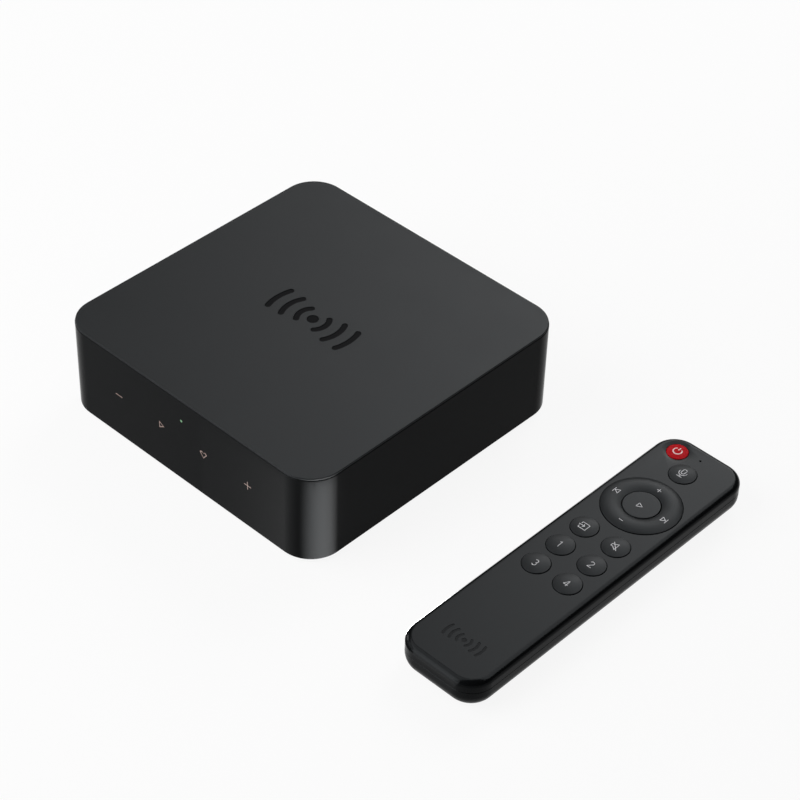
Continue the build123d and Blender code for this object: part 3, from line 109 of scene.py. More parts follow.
# Outlines of the printed signs in millimetres from the middle of their key, +Y to the far end
PRINTS = {
    "power_key": [arc((0, 0), 1.75, 55, -235, 28), [(0, 0.5), (0, 2.2)]],
    "microphone_key": [
        closed(arc((0, 1.5), 0.75, 0, 180, 8) + arc((0, 0.1), 0.75, 180, 360, 8)),
        arc((0, 0.15), 1.65, 160, 380, 16),
        [(0, -1.5), (0, -2.4)],
        [(-1.2, -2.4), (1.2, -2.4)],
    ],
    "play_key": [closed([(-1.05, 0.3), (1.05, -0.85), (-1.05, -2.0)])],
    "input_key": [
        [(-1.6, 0.6), (-1.6, 1.6), (1.7, 1.6), (1.7, -1.6), (-1.6, -1.6), (-1.6, -0.6)],
        [(-2.3, 0), (0.4, 0)],
        [(-0.4, 0.75), (0.4, 0), (-0.4, -0.75)],
    ],
    "mute_key": [
        closed([(-1.6, 0.6), (-0.7, 0.6), (0.8, 1.7), (0.8, -1.7), (-0.7, -0.6), (-1.6, -0.6)]),
        [(-1.7, 1.7), (1.7, -1.7)],
    ],
    "number_key_1": [[(-0.55, 0.95), (0.15, 1.5), (0.15, -1.5)]],
    "number_key_2": [arc((0, 0.65), 0.85, 165, -25, 12) + [(-0.9, -1.5), (0.95, -1.5)]],
    "number_key_3": [arc((0, 0.75), 0.75, 150, -80, 12), arc((0, -0.72), 0.82, 80, -150, 12)],
    "number_key_4": [[(0.45, -1.5), (0.45, 1.5), (-1.0, -0.75), (1.05, -0.75)]],
}
PRINT_SHIFTS = dict.fromkeys(("input_key", "mute_key", *NUMBER_KEYS), -0.5)
# The ring's signs, each with the side that it is on, their reach from the middle and their shift along Y
RING_PRINTS = {
    "plus": ((0, 1), [[(-0.95, 0), (0.95, 0)], [(0, -0.95), (0, 0.95)]]),
    "minus": ((0, -1), [[(-0.95, 0), (0.95, 0)]]),
    "previous": ((-1, 0), [closed([(0.95, 1.15), (-0.85, 0), (0.95, -1.15)]), [(-1.2, 1.3), (-1.2, -1.3)]]),
    "next": ((1, 0), [closed([(-0.95, 1.15), (0.85, 0), (-0.95, -1.15)]), [(1.2, 1.3), (1.2, -1.3)]]),
}
RING_PRINT_REACH = 11.4
RING_PRINT_SHIFT = -0.8


def colour_property(name, description, default):
    """A colour that a user can change."""
    return FloatVectorProperty(
        name=name, description=description, subtype="COLOR", size=3, min=0, max=1, default=default
    )


def number_property(name, description, default, **limits):
    """A number that a user can change."""
    return FloatProperty(name=name, description=description, default=default, **limits)


def length_property(name, description, default_mm):
    """A length that a user can change, stored in metres."""
    return number_property(name, description, default_mm * MM, min=0, subtype="DISTANCE", unit="LENGTH")


class StreamerSizes(bpy.types.PropertyGroup):
    """Sizes that the looks add to the solids."""

    key_edge: length_property("Key edge", "Radius of the round edge on every key", 0.25)
    print_width: length_property("Print width", "Width of a printed line", 0.25)
    power_print_width: length_property("Power print width", "Width of the lines on the red key", 0.5)
    print_thickness: length_property("Print thickness", "Thickness of the printed lines", 0.03)
    turn_steps: IntProperty(name="Turn steps", description="Faces round a turned piece", default=96, min=12)


class StreamerColours(bpy.types.PropertyGroup):
    """Colours of the surfaces."""

    casing: colour_property("Casing", "Side walls of the streamer", (0.0082, 0.0086, 0.009))
    cover: colour_property("Cover", "Top of the streamer", (0.0083, 0.0089, 0.0094))
    inlay: colour_property("Inlay", "Glossy sound-wave sign", (0.006, 0.0062, 0.0066))
    remote: colour_property("Remote", "Both halves of the remote's case", (0.004, 0.0044, 0.0048))
    key: colour_property("Keys", "Round keys and the ring", (0.0085, 0.0092, 0.0098))
    power: colour_property("Power key", "Red key", (0.45, 0.002, 0.007))
    print_white: colour_property("Prints", "Signs on the black keys", (0.7, 0.7, 0.72))
    power_print: colour_property("Power print", "Sign on the red key", (0.9, 0.62, 0.62))
    sign: colour_property("Front signs", "Lit signs on the front", (0.24, 0.16, 0.135))
    light: colour_property("Status light", "Small green light on the front", (0.08, 0.2, 0.095))


class StageSettings(bpy.types.PropertyGroup):
    """Floor, lamps and camera."""

    floor: colour_property("Floor", "Pale floor", (0.9, 0.9, 0.9))
    floor_glow: number_property("Floor glow", "Share of the floor that is plain white", 0.9)
    back_power: number_property("Back lamp", "Power of the soft lamp behind", 6.0, unit="POWER")
    front_power: number_property("Front lamp", "Power of the front lamp", 9.7, unit="POWER")
    edge_level: number_property("Edge sheen", "Brightness for the right edges", 5.0, min=0)
    remote_lift: number_property("Remote lift", "Gain of the part over the remote", 1.29)
    near_level: number_property("Near sheen", "Brightness of the card in front and overhead", 5.2, min=0)
    left_level: number_property("Left sheen", "Brightness of the card on the left", 6.0, min=0)
    sheen_level: number_property("Sheen", "Brightness of the sloped card behind", 10.9, min=0)
    strip_level: number_property("Strip", "Brightness of the strip in the near corner", 37.0)
    side_level: number_property("Side glow", "Brightness beside the near corner", 1.5)
    world_level: number_property("World", "Brightness of the surroundings", 0.15, min=0)
    lens: number_property("Lens", "Focal length of the camera", 108.22, unit="CAMERA")


# Small helpers for meshes


def link_object(name, data):
    """A new object at the origin that holds a mesh, a lamp or a camera."""
    obj = bpy.data.objects.new(name, data)
    bpy.context.scene.collection.objects.link(obj)
    return obj


def mesh_object(name, points, edges=(), faces=()):
    """A new object at the origin with a mesh of its own."""
    mesh = bpy.data.meshes.new(name)
    mesh.from_pydata(points, edges, faces)
    return link_object(name, mesh)


def line_object(name, lines):
    """Flat lines; each is a list of (x, y) in millimetres, closed where its ends meet."""
    points, edges = [], []
    for line in lines:
        start = len(points)
        loop = len(line) > 2 and line[0] == line[-1]
        kept = line[:-1] if loop else line
        points += [(x * MM, y * MM, 0) for x, y in kept]
        edges += [(start + n, start + n + 1) for n in range(len(kept) - 1)]
        if loop:
            edges.append((start + len(kept) - 1, start))
    return mesh_object(name, points, edges)


def freeze(obj):
    """Turns an object's modifiers into plain mesh."""
    graph = bpy.context.evaluated_depsgraph_get()
    mesh = bpy.data.meshes.new_from_object(
        obj.evaluated_get(graph), preserve_all_data_layers=True, depsgraph=graph
    )
    mesh.name = obj.name
    obj.modifiers.clear()
    obj.data = mesh


def joined(mesh):
    """A mesh opened for edits, with the corners joined that lie on each other."""
    bm = bmesh.new()
    bm.from_mesh(mesh)
    bmesh.ops.remove_doubles(bm, verts=bm.verts, dist=JOIN_DISTANCE)
    return bm


def turn_outwards(obj):
    """Points every face outwards."""
    bm = joined(obj.data)
    bmesh.ops.recalc_face_normals(bm, faces=bm.faces)
    bm.to_mesh(obj.data)
    bm.free()


def body_of_node(node):
    """The body that carries a node."""
    bodies = frame["record"]["behaviour"]["bodies"]
    return next(body for body, nodes in bodies.items() if node in nodes)


def slot_of_node(node):
    """The record's material slot of a node."""
    return next(row["material_slot"] for row in frame["record"]["subparts"] if row["node"] == node)


def paint(obj, material):
    """Gives an object its one material."""
    obj.data.materials.clear()
    obj.data.materials.append(material)


def finish_piece(obj, material, node, *nodes):
    """Gives a piece its material and the body of a node, and hides the nodes that it stands for; the node's
    slot is looked up but not used.
    """
    paint(obj, material)
    body, slot = body_of_node(node), slot_of_node(node)
    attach(obj, body)
    if nodes:
        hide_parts(*nodes)


def node_middle(node):
    """The middle of a node's box."""
    low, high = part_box(node)
    return (Vector(low) + Vector(high)) / 2


def soften(bm):
    """Shades faces smooth and marks the crisp edges."""
    for face in bm.faces:
        face.smooth = True
    for edge in bm.edges:
        edge.smooth = len(edge.link_faces) == 2 and edge.calc_face_angle(math.pi) < SHARP_ANGLE


def smooth_copy(node, material):
    """Makes a copy of a node's solid with joined faces, soft round surfaces and crisp edges."""
    mesh = frame["nodes"][node].data.copy()
    bm = joined(mesh)
    soften(bm)
    bm.to_mesh(mesh)
    bm.free()
    obj = link_object(node + "_surface", mesh)
    even = obj.modifiers.new("even_normals", "WEIGHTED_NORMAL")
    even.keep_sharp = True
    even.weight = NORMAL_WEIGHT
    freeze(obj)
    finish_piece(obj, material, node, node)


# Building of node trees


def fill(tree, node, sockets):
    """Links or fills a node's inputs by name or number."""
    for key, value in sockets.items():
        socket = node.inputs[key]
        if isinstance(value, bpy.types.NodeSocket):
            tree.links.new(value, socket)
        else:
            socket.default_value = value


def wire(tree, kind, sockets=None, **settings):
    """Adds a node, sets its options, and links or fills its inputs."""
    node = tree.nodes.new(kind)
    for option, value in settings.items():
        setattr(node, option, value)
    fill(tree, node, sockets or {})
    return node


def new(tree, kind, sockets=None, **settings):
    """The first output of a new node."""
    return wire(tree, kind, sockets, **settings).outputs[0]


def maths(tree, operation, *values):
    """The output of a Math node."""
    return new(tree, "ShaderNodeMath", dict(enumerate(values)), operation=operation)


def new_group(name, tree_kind, inputs, outputs):
    """A node group with named inputs, each with its kind and perhaps its value, and named outputs."""
    tree = bpy.data.node_groups.new(name, tree_kind)
    for label, kind, *value in inputs:
        socket = tree.interface.new_socket(label, in_out="INPUT", socket_type="NodeSocket" + kind)
        if value:
            socket.default_value = value[0]
    for label, kind in outputs:
        tree.interface.new_socket(label, in_out="OUTPUT", socket_type="NodeSocket" + kind)
    start = tree.nodes.new("NodeGroupInput")
    end = tree.nodes.new("NodeGroupOutput")
    return tree, start.outputs, end


def geometry_tree(name, inputs):
    """A geometry tree with a geometry input and output and the named inputs given."""
    through = [("Geometry", "Geometry")]
    return new_group(name, "GeometryNodeTree", through + inputs, through)


def use_tree(obj, tree, values):
    """Puts a geometry tree on an object with its inputs set, and freezes the result."""
    modifier = obj.modifiers.new(tree.name, "NODES")
    modifier.node_group = tree
    for item in tree.interface.items_tree:
        if item.in_out == "INPUT" and item.name in values:
            modifier[item.identifier] = values[item.name]
    freeze(obj)


def merged(tree, geometry):
    """A geometry with the corners joined that lie on each other."""
    return new(tree, "GeometryNodeMergeByDistance", {"Geometry": geometry, "Distance": JOIN_DISTANCE})


def close_tree(tree, end, geometry, material):
    """Ends a tree with Realize Instances and Set Material."""
    real = new(tree, "GeometryNodeRealizeInstances", {"Geometry": geometry})
    painted = new(tree, "GeometryNodeSetMaterial", {"Geometry": real, "Material": material})
    tree.links.new(painted, end.inputs[0])


def place_and_close(tree, end, geometry, given):
    """Moves what a tree made to its Centre, and ends the tree with its Finish."""
    moved = new(tree, "GeometryNodeTransform", {"Geometry": geometry, "Translation": given["Centre"]})
    close_tree(tree, end, moved, given["Finish"])


def make_turning_tree():
    """Spins a line of points, radius along X and level along Z, about the upright axis."""
    inputs = [("Steps", "Int"), ("Centre", "Vector"), ("Finish", "Material")]
    tree, given, end = geometry_tree("turned_piece", inputs)
    line = {"Geometry": given["Geometry"]}
    count = wire(tree, "GeometryNodeAttributeDomainSize", line).outputs["Point Count"]
    around = maths(tree, "ADD", given["Steps"], 1)
    sizes = {"Size X": 1, "Size Y": 1, "Vertices X": count, "Vertices Y": around}
    grid = wire(tree, "GeometryNodeMeshGrid", sizes).outputs["Mesh"]
    index = new(tree, "GeometryNodeInputIndex")
    row = maths(tree, "FLOOR", maths(tree, "DIVIDE", maths(tree, "ADD", index, 0.5), around))
    column = maths(tree, "SUBTRACT", index, maths(tree, "MULTIPLY", row, around))
    source = {**line, "Index": row, "Value": new(tree, "GeometryNodeInputPosition")}
    sample = new(tree, "GeometryNodeSampleIndex", source, data_type="FLOAT_VECTOR")
    angle = maths(tree, "DIVIDE", maths(tree, "MULTIPLY", column, 2 * math.pi), given["Steps"])
    spot = new(tree, "ShaderNodeVectorRotate", {"Vector": sample, "Angle": angle}, rotation_type="Z_AXIS")
    spun = merged(tree, new(tree, "GeometryNodeSetPosition", {"Geometry": grid, "Position": spot}))
    soft = new(tree, "GeometryNodeSetShadeSmooth", {"Geometry": spun}, domain="FACE")
    bend = wire(tree, "GeometryNodeInputMeshEdgeAngle").outputs["Unsigned Angle"]
    edges = {"Geometry": soft, "Shade Smooth": maths(tree, "LESS_THAN", bend, SHARP_ANGLE)}
    crisp = new(tree, "GeometryNodeSetShadeSmooth", edges, domain="EDGE")
    place_and_close(tree, end, crisp, given)
    return tree


def make_repeat_tree():
    """Sets a copy of one piece on every point."""
    inputs = [("Piece", "Object"), ("Finish", "Material")]
    tree, given, end = geometry_tree("repeated_piece", inputs)
    piece = wire(tree, "GeometryNodeObjectInfo", {"Object": given["Piece"]}).outputs["Geometry"]
    copies = new(tree, "GeometryNodeInstanceOnPoints", {"Points": given["Geometry"], "Instance": piece})
    close_tree(tree, end, copies, given["Finish"])
    return tree


def make_print_tree():
    """Lays flat lines as thin strips on a crowned surface."""
    numbers = ("Line Width", "Thickness", "Step", "Crown Radius", "Crown Middle", "Crown Level")
    inputs = [(label, "Float") for label in numbers]
    inputs += [("Centre", "Vector"), ("Finish", "Material")]
    tree, given, end = geometry_tree("printed_line", inputs)
    curve = new(tree, "GeometryNodeMeshToCurve", {"Mesh": given["Geometry"]})
    even = new(tree, "GeometryNodeResampleCurve", {"Curve": curve, "Length": given["Step"]}, mode="LENGTH")
    flat = new(tree, "GeometryNodeSetCurveNormal", {"Curve": even}, mode="Z_UP")
    half = maths(tree, "MULTIPLY", given["Line Width"], 0.5)
    start = new(tree, "ShaderNodeCombineXYZ", {"X": half})
    stop = new(tree, "ShaderNodeCombineXYZ", {"X": maths(tree, "MULTIPLY", half, -1)})
    section = new(tree, "GeometryNodeCurvePrimitiveLine", {"Start": start, "End": stop})
    strip = new(tree, "GeometryNodeCurveToMesh", {"Curve": flat, "Profile Curve": section})
    place = new(tree, "GeometryNodeInputPosition")
    parts = wire(tree, "ShaderNodeSeparateXYZ", {0: place}).outputs
    reach = wire(tree, "ShaderNodeVectorMath", {0: place}, operation="LENGTH").outputs["Value"]
    away = maths(tree, "SUBTRACT", reach, given["Crown Middle"])
    square = maths(tree, "MULTIPLY", given["Crown Radius"], given["Crown Radius"])
    fall = maths(tree, "SQRT", maths(tree, "SUBTRACT", square, maths(tree, "MULTIPLY", away, away)))
    level = maths(tree, "ADD", fall, given["Crown Level"])
    crown = new(tree, "ShaderNodeCombineXYZ", {"X": parts["X"], "Y": parts["Y"], "Z": level})
    laid = new(tree, "GeometryNodeSetPosition", {"Geometry": strip, "Position": crown})
    upright = new(tree, "ShaderNodeCombineXYZ", {"Z": 1.0})
    lift = {"Mesh": laid, "Offset": upright, "Offset Scale": given["Thickness"], "Individual": False}
    raised = wire(tree, "GeometryNodeExtrudeMesh", lift).outputs["Mesh"]
    under = new(tree, "GeometryNodeFlipFaces", {"Mesh": laid})
    whole = wire(tree, "GeometryNodeJoinGeometry")
    tree.links.new(raised, whole.inputs[0])
    tree.links.new(under, whole.inputs[0])
    place_and_close(tree, end, merged(tree, whole.outputs[0]), given)
    return tree


def shared_tree(name, maker):
    """A tree that is made once and used again."""
    return bpy.data.node_groups.get(name) or maker()


def turned(name, profile, centre, material, steps=None):
    """A piece turned from a profile of (radius, level) in metres."""
    points = [(radius, 0, level) for radius, level in profile]
    obj = mesh_object(name, points, [(n, n + 1) for n in range(len(points) - 1)])
    steps = steps or bpy.context.scene.streamer_sizes.turn_steps
    values = {"Steps": steps, "Centre": centre, "Finish": material}
    use_tree(obj, shared_tree("turned_piece", make_turning_tree), values)
    turn_outwards(obj)
    return obj


def loose_parts(bm):
    """The loose parts of a joined mesh, each as a list of corners."""
    seen, parts = set(), []
    for first in bm.verts:
        if first in seen:
            continue
        seen.add(first)
        part = [first]
        for corner in part:
            for edge in corner.link_edges:
                other = edge.other_vert(corner)
                if other not in seen:
                    seen.add(other)
                    part.append(other)
        parts.append(part)
    return parts


def repeat_node(node, material):
    """Sets the first of a node's like pieces, smoothed, on the middle of each of them."""
    bm = joined(frame["nodes"][node].data)
    places, sizes = [], []
    parts = loose_parts(bm)
    for part in parts:
        low = Vector([min(corner.co[axis] for corner in part) for axis in range(3)])
        high = Vector([max(corner.co[axis] for corner in part) for axis in range(3)])
        places.append((low + high) / 2)
        sizes.append(high - low)
    if any((size - sizes[0]).length > ALIKE_DISTANCE for size in sizes):
        raise RuntimeError(f"the pieces of {node} are not alike")
    others = [corner for part in parts[1:] for corner in part]
    bmesh.ops.delete(bm, geom=others, context="VERTS")
    bmesh.ops.translate(bm, verts=bm.verts, vec=-places[0])
    soften(bm)
    mesh = bpy.data.meshes.new(node + "_piece")
    bm.to_mesh(mesh)
    bm.free()
    piece = link_object(node + "_piece", mesh)
    obj = mesh_object(node + "_set", [tuple(place) for place in places])
    use_tree(obj, shared_tree("repeated_piece", make_repeat_tree), {"Piece": piece, "Finish": material})
    bpy.data.objects.remove(piece)
    finish_piece(obj, material, node, node)


def bend_points(start, middle, end, steps):
    """Points on the circle through three points, as (radius, level), and its middle and radius."""
    (ax, ay), (bx, by), (cx, cy) = start, middle, end
    d = 2 * (ax * (by - cy) + bx * (cy - ay) + cx * (ay - by))
    a2, b2, c2 = ax * ax + ay * ay, bx * bx + by * by, cx * cx + cy * cy
    ux = (a2 * (by - cy) + b2 * (cy - ay) + c2 * (ay - by)) / d
    uy = (a2 * (cx - bx) + b2 * (ax - cx) + c2 * (bx - ax)) / d
    radius = math.hypot(ax - ux, ay - uy)
    first = math.atan2(ay - uy, ax - ux)
    sweep = math.atan2(cy - uy, cx - ux) - first
    through = (math.atan2(by - uy, bx - ux) - first) % (2 * math.pi)
    sweep %= 2 * math.pi
    if through > sweep:
        sweep -= 2 * math.pi
    angles = [first + sweep * step / steps for step in range(steps + 1)]
    return [(ux + radius * math.cos(a), uy + radius * math.sin(a)) for a in angles], (ux, uy, radius)


# Shader groups and materials

# Range of a noise that counts, with its middle, detail of the two noises, and changes along drawn lines
NOISE_LOW, NOISE_MIDDLE, NOISE_HIGH = 0.3, 0.5, 0.7
GRAIN_DETAIL, CLOUD_DETAIL = 2.0, 3.0
DRAWN_TONE_CHANGE = 0.2
DRAWN_ROUGHNESS_CHANGE = 0.25


def object_place(tree):
    """The place on the object."""
    return wire(tree, "ShaderNodeTexCoord").outputs["Object"]


def scaled_colour(tree, colour, level):
    """A colour times a level."""
    return new(tree, "ShaderNodeVectorMath", {0: colour, "Scale": level}, operation="SCALE")


def colour_mix(tree, factor, first, second):
    """A colour between two others."""
    return wire(tree, "ShaderNodeMix", {0: factor, 6: first, 7: second}, data_type="RGBA").outputs[2]


def relief(tree, height, strength, depth):
    """The normal of a fine relief."""
    return new(tree, "ShaderNodeBump", {"Height": height, "Strength": strength, "Distance": depth})


def shader_group(name, inputs):
    """A shader node group with named inputs that puts out a colour, a roughness and a height."""
    outputs = [("Colour", "Color"), ("Roughness", "Float"), ("Height", "Float")]
    return new_group(name, "ShaderNodeTree", inputs, outputs)


def make_grain_group():
    """The fine pitted grain of moulded plastic, with slow changes in tone."""
    inputs = [
        ("Grain Scale", "Float", 5000.0),
        ("Tone Scale", "Float", 60.0),
        ("Low Roughness", "Float", 0.4),
        ("High Roughness", "Float", 0.5),
        ("Colour", "Color", (0.02, 0.02, 0.02, 1)),
        ("Tone Change", "Float", 0.1),
    ]
    tree, given, end = shader_group("moulded_grain", inputs)
    place = object_place(tree)
    noises = [
        {"Vector": place, "Scale": given["Grain Scale"], "Detail": GRAIN_DETAIL},
        {"Vector": place, "Scale": given["Tone Scale"], "Detail": CLOUD_DETAIL},
    ]
    grain, cloud = (new(tree, "ShaderNodeTexNoise", noise) for noise in noises)
    speck, drift = (
        maths(tree, "MULTIPLY", maths(tree, "SUBTRACT", noise, NOISE_MIDDLE), given["Tone Change"])
        for noise in (grain, cloud)
    )
    level = maths(tree, "ADD", maths(tree, "ADD", drift, speck), 1.0)
    blend = {
        "Value": cloud,
        "From Min": NOISE_LOW,
        "From Max": NOISE_HIGH,
        "To Min": given["Low Roughness"],
        "To Max": given["High Roughness"],
    }
    rough = new(tree, "ShaderNodeMapRange", blend)
    tinted = scaled_colour(tree, given["Colour"], level)
    fill(tree, end, {"Colour": tinted, "Roughness": rough, "Height": grain})
    return tree


def make_brushed_group():
    """Fine drawn lines in metal, along one axis of the object."""
    inputs = [
        ("Stretch", "Vector", (200.0, 4000.0, 4000.0)),
        ("Colour", "Color", (0.6, 0.6, 0.6, 1)),
        ("Roughness", "Float", 0.3),
    ]
    tree, given, end = shader_group("drawn_metal", inputs)
    stretch = {0: object_place(tree), 1: given["Stretch"]}
    place = new(tree, "ShaderNodeVectorMath", stretch, operation="MULTIPLY")
    lines = new(tree, "ShaderNodeTexNoise", {"Vector": place, "Scale": 1.0, "Detail": CLOUD_DETAIL})
    drift = maths(tree, "SUBTRACT", lines, NOISE_MIDDLE)
    tone = maths(tree, "ADD", maths(tree, "MULTIPLY", drift, DRAWN_TONE_CHANGE), 1.0)
    change = maths(tree, "MULTIPLY", drift, DRAWN_ROUGHNESS_CHANGE)
    rough = maths(tree, "ADD", given["Roughness"], change)
    tinted = scaled_colour(tree, given["Colour"], tone)
    fill(tree, end, {"Colour": tinted, "Roughness": rough, "Height": lines})
    return tree


def new_material(name):
    """An empty material with its shader and output."""
    material = bpy.data.materials.new(name)
    material.use_nodes = True
    tree = material.node_tree
    return material, tree, tree.nodes["Principled BSDF"]


def group_surface(name, group, values, strength, depth):
    """A material whose colour, roughness and relief come from a shader group."""
    material, tree, shader = new_material(name)
    given = wire(tree, "ShaderNodeGroup", values, node_tree=group).outputs
    normal = relief(tree, given["Height"], strength, depth)
    fill(tree, shader, {"Base Color": given["Colour"], "Roughness": given["Roughness"], "Normal": normal})
    return material, tree, shader


GRAIN_DEPTH = 0.02 * MM


def plastic(name, colour, roughness, grain_scale, bump, specular, tone_change=0.1, tint=(1, 1, 1)):
    """Moulded plastic with its grain."""
    values = {
        "Grain Scale": grain_scale,
        "Low Roughness": roughness[0],
        "High Roughness": roughness[1],
        "Colour": (*colour, 1),
        "Tone Change": tone_change,
    }
    group = shared_tree("moulded_grain", make_grain_group)
    material, tree, shader = group_surface(name, group, values, bump, GRAIN_DEPTH)
    fill(tree, shader, {"Specular IOR Level": specular, "Specular Tint": (*tint, 1)})
    return material


METAL_BUMP = 0.15
METAL_DEPTH = 0.01 * MM


def metal(name, colour, roughness):
    """Drawn or plated metal."""
    group = shared_tree("drawn_metal", make_brushed_group)
    values = {"Colour": (*colour, 1), "Roughness": roughness}
    material, _, shader = group_surface(name, group, values, METAL_BUMP, METAL_DEPTH)
    shader.inputs["Metallic"].default_value = 1.0
    return material


# Circuit boards: size and limits of the pattern, relief and colours
BOARD_SCALE = 180.0
TRACK_REPEATS = 3.0
TRACK_LIMIT = 0.36
PAD_LIMIT = 0.13
BOARD_BUMP = 0.4
BOARD_DEPTH = 0.03 * MM
BOARD_ROUGHNESS = 0.35
COAT_COLOUR = (0.010, 0.075, 0.034, 1)
TRACK_COLOUR = (0.025, 0.150, 0.065, 1)
PAD_COLOUR = (0.72, 0.55, 0.25, 1)


def circuit_board(name):
    """A coated board with tracks and pads."""
    material, tree, shader = new_material(name)
    pattern = {"Vector": object_place(tree), "Scale": BOARD_SCALE}
    cells = wire(tree, "ShaderNodeTexVoronoi", pattern, distance="MANHATTAN", feature="F2")
    near = wire(tree, "ShaderNodeTexVoronoi", pattern, feature="F1")
    repeats = maths(tree, "MULTIPLY", cells.outputs["Distance"], TRACK_REPEATS)
    track = maths(tree, "GREATER_THAN", maths(tree, "PINGPONG", repeats, 0.5), TRACK_LIMIT)
    pad = maths(tree, "LESS_THAN", near.outputs["Distance"], PAD_LIMIT)
    coat = colour_mix(tree, track, COAT_COLOUR, TRACK_COLOUR)
    surface = {
        "Base Color": colour_mix(tree, pad, coat, PAD_COLOUR),
        "Metallic": pad,
        "Normal": relief(tree, track, BOARD_BUMP, BOARD_DEPTH),
        "Roughness": BOARD_ROUGHNESS,
    }
    fill(tree, shader, surface)
    return material


# Lit pieces: scale of their soft change in brightness, its share and its lowest level
LIT_SCALE = 900.0
LIT_CHANGE = 0.3
LIT_LOW = 0.85
LIT_ROUGHNESS = 0.4


def glowing(name, colour, strength):
    """A lit sign or lamp."""
    material, tree, shader = new_material(name)
    cloud = new(tree, "ShaderNodeTexNoise", {"Vector": object_place(tree), "Scale": LIT_SCALE})
    level = maths(tree, "ADD", maths(tree, "MULTIPLY", cloud, LIT_CHANGE), LIT_LOW)
    tint = scaled_colour(tree, colour, level)
    fill(tree, shader, {"Base Color": tint, "Emission Color": tint, "Roughness": LIT_ROUGHNESS})
    shader.inputs["Emission Strength"].default_value = strength
    return material


# Black plastic mirrors a little cooler than white
COOL = (0.90, 0.96, 1.0)

# The maker of each finish, then its colour, plain or the name of a setting, and the maker's other values:
# for plastic the roughness from and to, grain scale, relief, gloss, change of tone and tint of the mirror,
# for metal the roughness, for lit pieces the strength
FINISHES = {
    "satin_casing": (plastic, "casing", (0.13, 0.16), 5000, 0.04, 0.018, 0.06, COOL),
    "matt_cover": (plastic, "cover", (0.38, 0.42), 6500, 0.1, 0.072, 0.08, COOL),
    "polished_inlay": (plastic, "inlay", (0.07, 0.09), 2500, 0.02, 0.008, 0.05, COOL),
    "pressed_mark": (plastic, "inlay", (0.12, 0.15), 2500, 0.02, 0.025, 0.05, COOL),
    "matt_base": (plastic, (0.014, 0.014, 0.015), (0.5, 0.6), 4000, 0.4, 0.3),
    "soft_pad": (plastic, (0.018, 0.018, 0.018), (0.8, 0.9), 2500, 0.8, 0.2, 0.2),
    "matt_panel": (plastic, (0.012, 0.012, 0.013), (0.4, 0.5), 4500, 0.3, 0.3),
    "remote_shell": (plastic, "remote", (0.15, 0.18), 6500, 0.08, 0.045, 0.08, COOL),
    "remote_back": (plastic, "remote", (0.24, 0.28), 6500, 0.08, 0.045, 0.08, COOL),
    "black_key": (plastic, "key", (0.3, 0.34), 7000, 0.08, 0.052, 0.06, COOL),
    "red_key": (plastic, "power", (0.45, 0.5), 7000, 0.08, 0.019, 0.08),
    "print_grey": (plastic, "print_white", (0.5, 0.6), 9000, 0.1, 0.2),
    "print_pink": (plastic, "power_print", (0.5, 0.6), 9000, 0.1, 0.2),
    "moulded_black": (plastic, (0.01, 0.01, 0.01), (0.3, 0.4), 5000, 0.2, 0.4),
    "epoxy_chip": (plastic, (0.016, 0.016, 0.018), (0.5, 0.6), 5000, 0.5, 0.4),
    "white_core": (plastic, (0.72, 0.72, 0.7), (0.3, 0.4), 4000, 0.1, 0.5, 0.05),
    "red_core": (plastic, (0.5, 0.012, 0.012), (0.3, 0.4), 4000, 0.1, 0.5, 0.05),
    "orange_core": (plastic, (0.72, 0.19, 0.012), (0.3, 0.4), 4000, 0.1, 0.5, 0.05),
    "grey_silicone": (plastic, (0.23, 0.24, 0.25), (0.6, 0.7), 3000, 0.4, 0.3),
    "white_ribbon": (plastic, (0.66, 0.67, 0.68), (0.4, 0.5), 3000, 0.2, 0.4),
    "wrapped_cell": (plastic, (0.055, 0.11, 0.24), (0.25, 0.35), 3000, 0.1, 0.5),
    "nickel": (metal, (0.72, 0.7, 0.65), 0.18),
    "steel": (metal, (0.58, 0.58, 0.58), 0.3),
    "dark_screw": (metal, (0.1, 0.1, 0.105), 0.35),
    "tin": (metal, (0.62, 0.62, 0.6), 0.38),
    "aluminium": (metal, (0.72, 0.72, 0.74), 0.28),
    "gold": (metal, (0.83, 0.6, 0.25), 0.22),
    "green_board": (circuit_board,),
    "lit_sign": (glowing, "sign", 0.15),
    "lit_green": (glowing, "light", 0.6),
    "white_lamp": (glowing, (0.7, 0.68, 0.6), 0.1),
}


def finish(name):
    """A material by its name, made when it is first asked for."""
    label = name + "_finish"
    if label in bpy.data.materials:
        return bpy.data.materials[label]
    maker, *values = FINISHES[name]
    colours = bpy.context.scene.streamer_colours
    return maker(label, *(getattr(colours, value) if isinstance(value, str) else value for value in values))


# Finish of each piece, by group; PAINTED has the flat-sided pieces of each finish
CASING = {
    "side_housing": "satin_casing",
    "top_plate": "matt_cover",
    "top_mark": "polished_inlay",
    "base_plate": "matt_base",
    "foot_pad": "soft_pad",
    "rear_panel": "matt_panel",
    "status_light": "lit_green",
}
REAR = {
    "coax_insert": "orange_core",
    "optical_in_shutter": "moulded_black",
    "optical_out_shutter": "moulded_black",
    "trigger_jack": "moulded_black",
    "power_socket": "steel",
}
REMOTE_CASE = {
    "remote_upper_case": "remote_shell",
    "remote_lower_case": "remote_back",
    "remote_mark": "pressed_mark",
    "battery_door": "remote_back",
}
INSIDE = {
    "touch_ribbon": "white_ribbon",
    "aerial_leads": "moulded_black",
    "battery_cells": "wrapped_cell",
    "keypad_membrane": "grey_silicone",
    "microphone_capsule": "aluminium",
    "ring_rocker": "moulded_black",
}
REPEATED = {
    "base_screws": "dark_screw",
    "jack_screws": "dark_screw",
    "board_screws": "dark_screw",
    "phono_sleeves": "nickel",
    "left_channel_inserts": "white_core",
    "right_channel_inserts": "red_core",
    "smoothing_capacitors": "aluminium",
    "dome_switches": "steel",
    "ethernet_contacts": "gold",
}
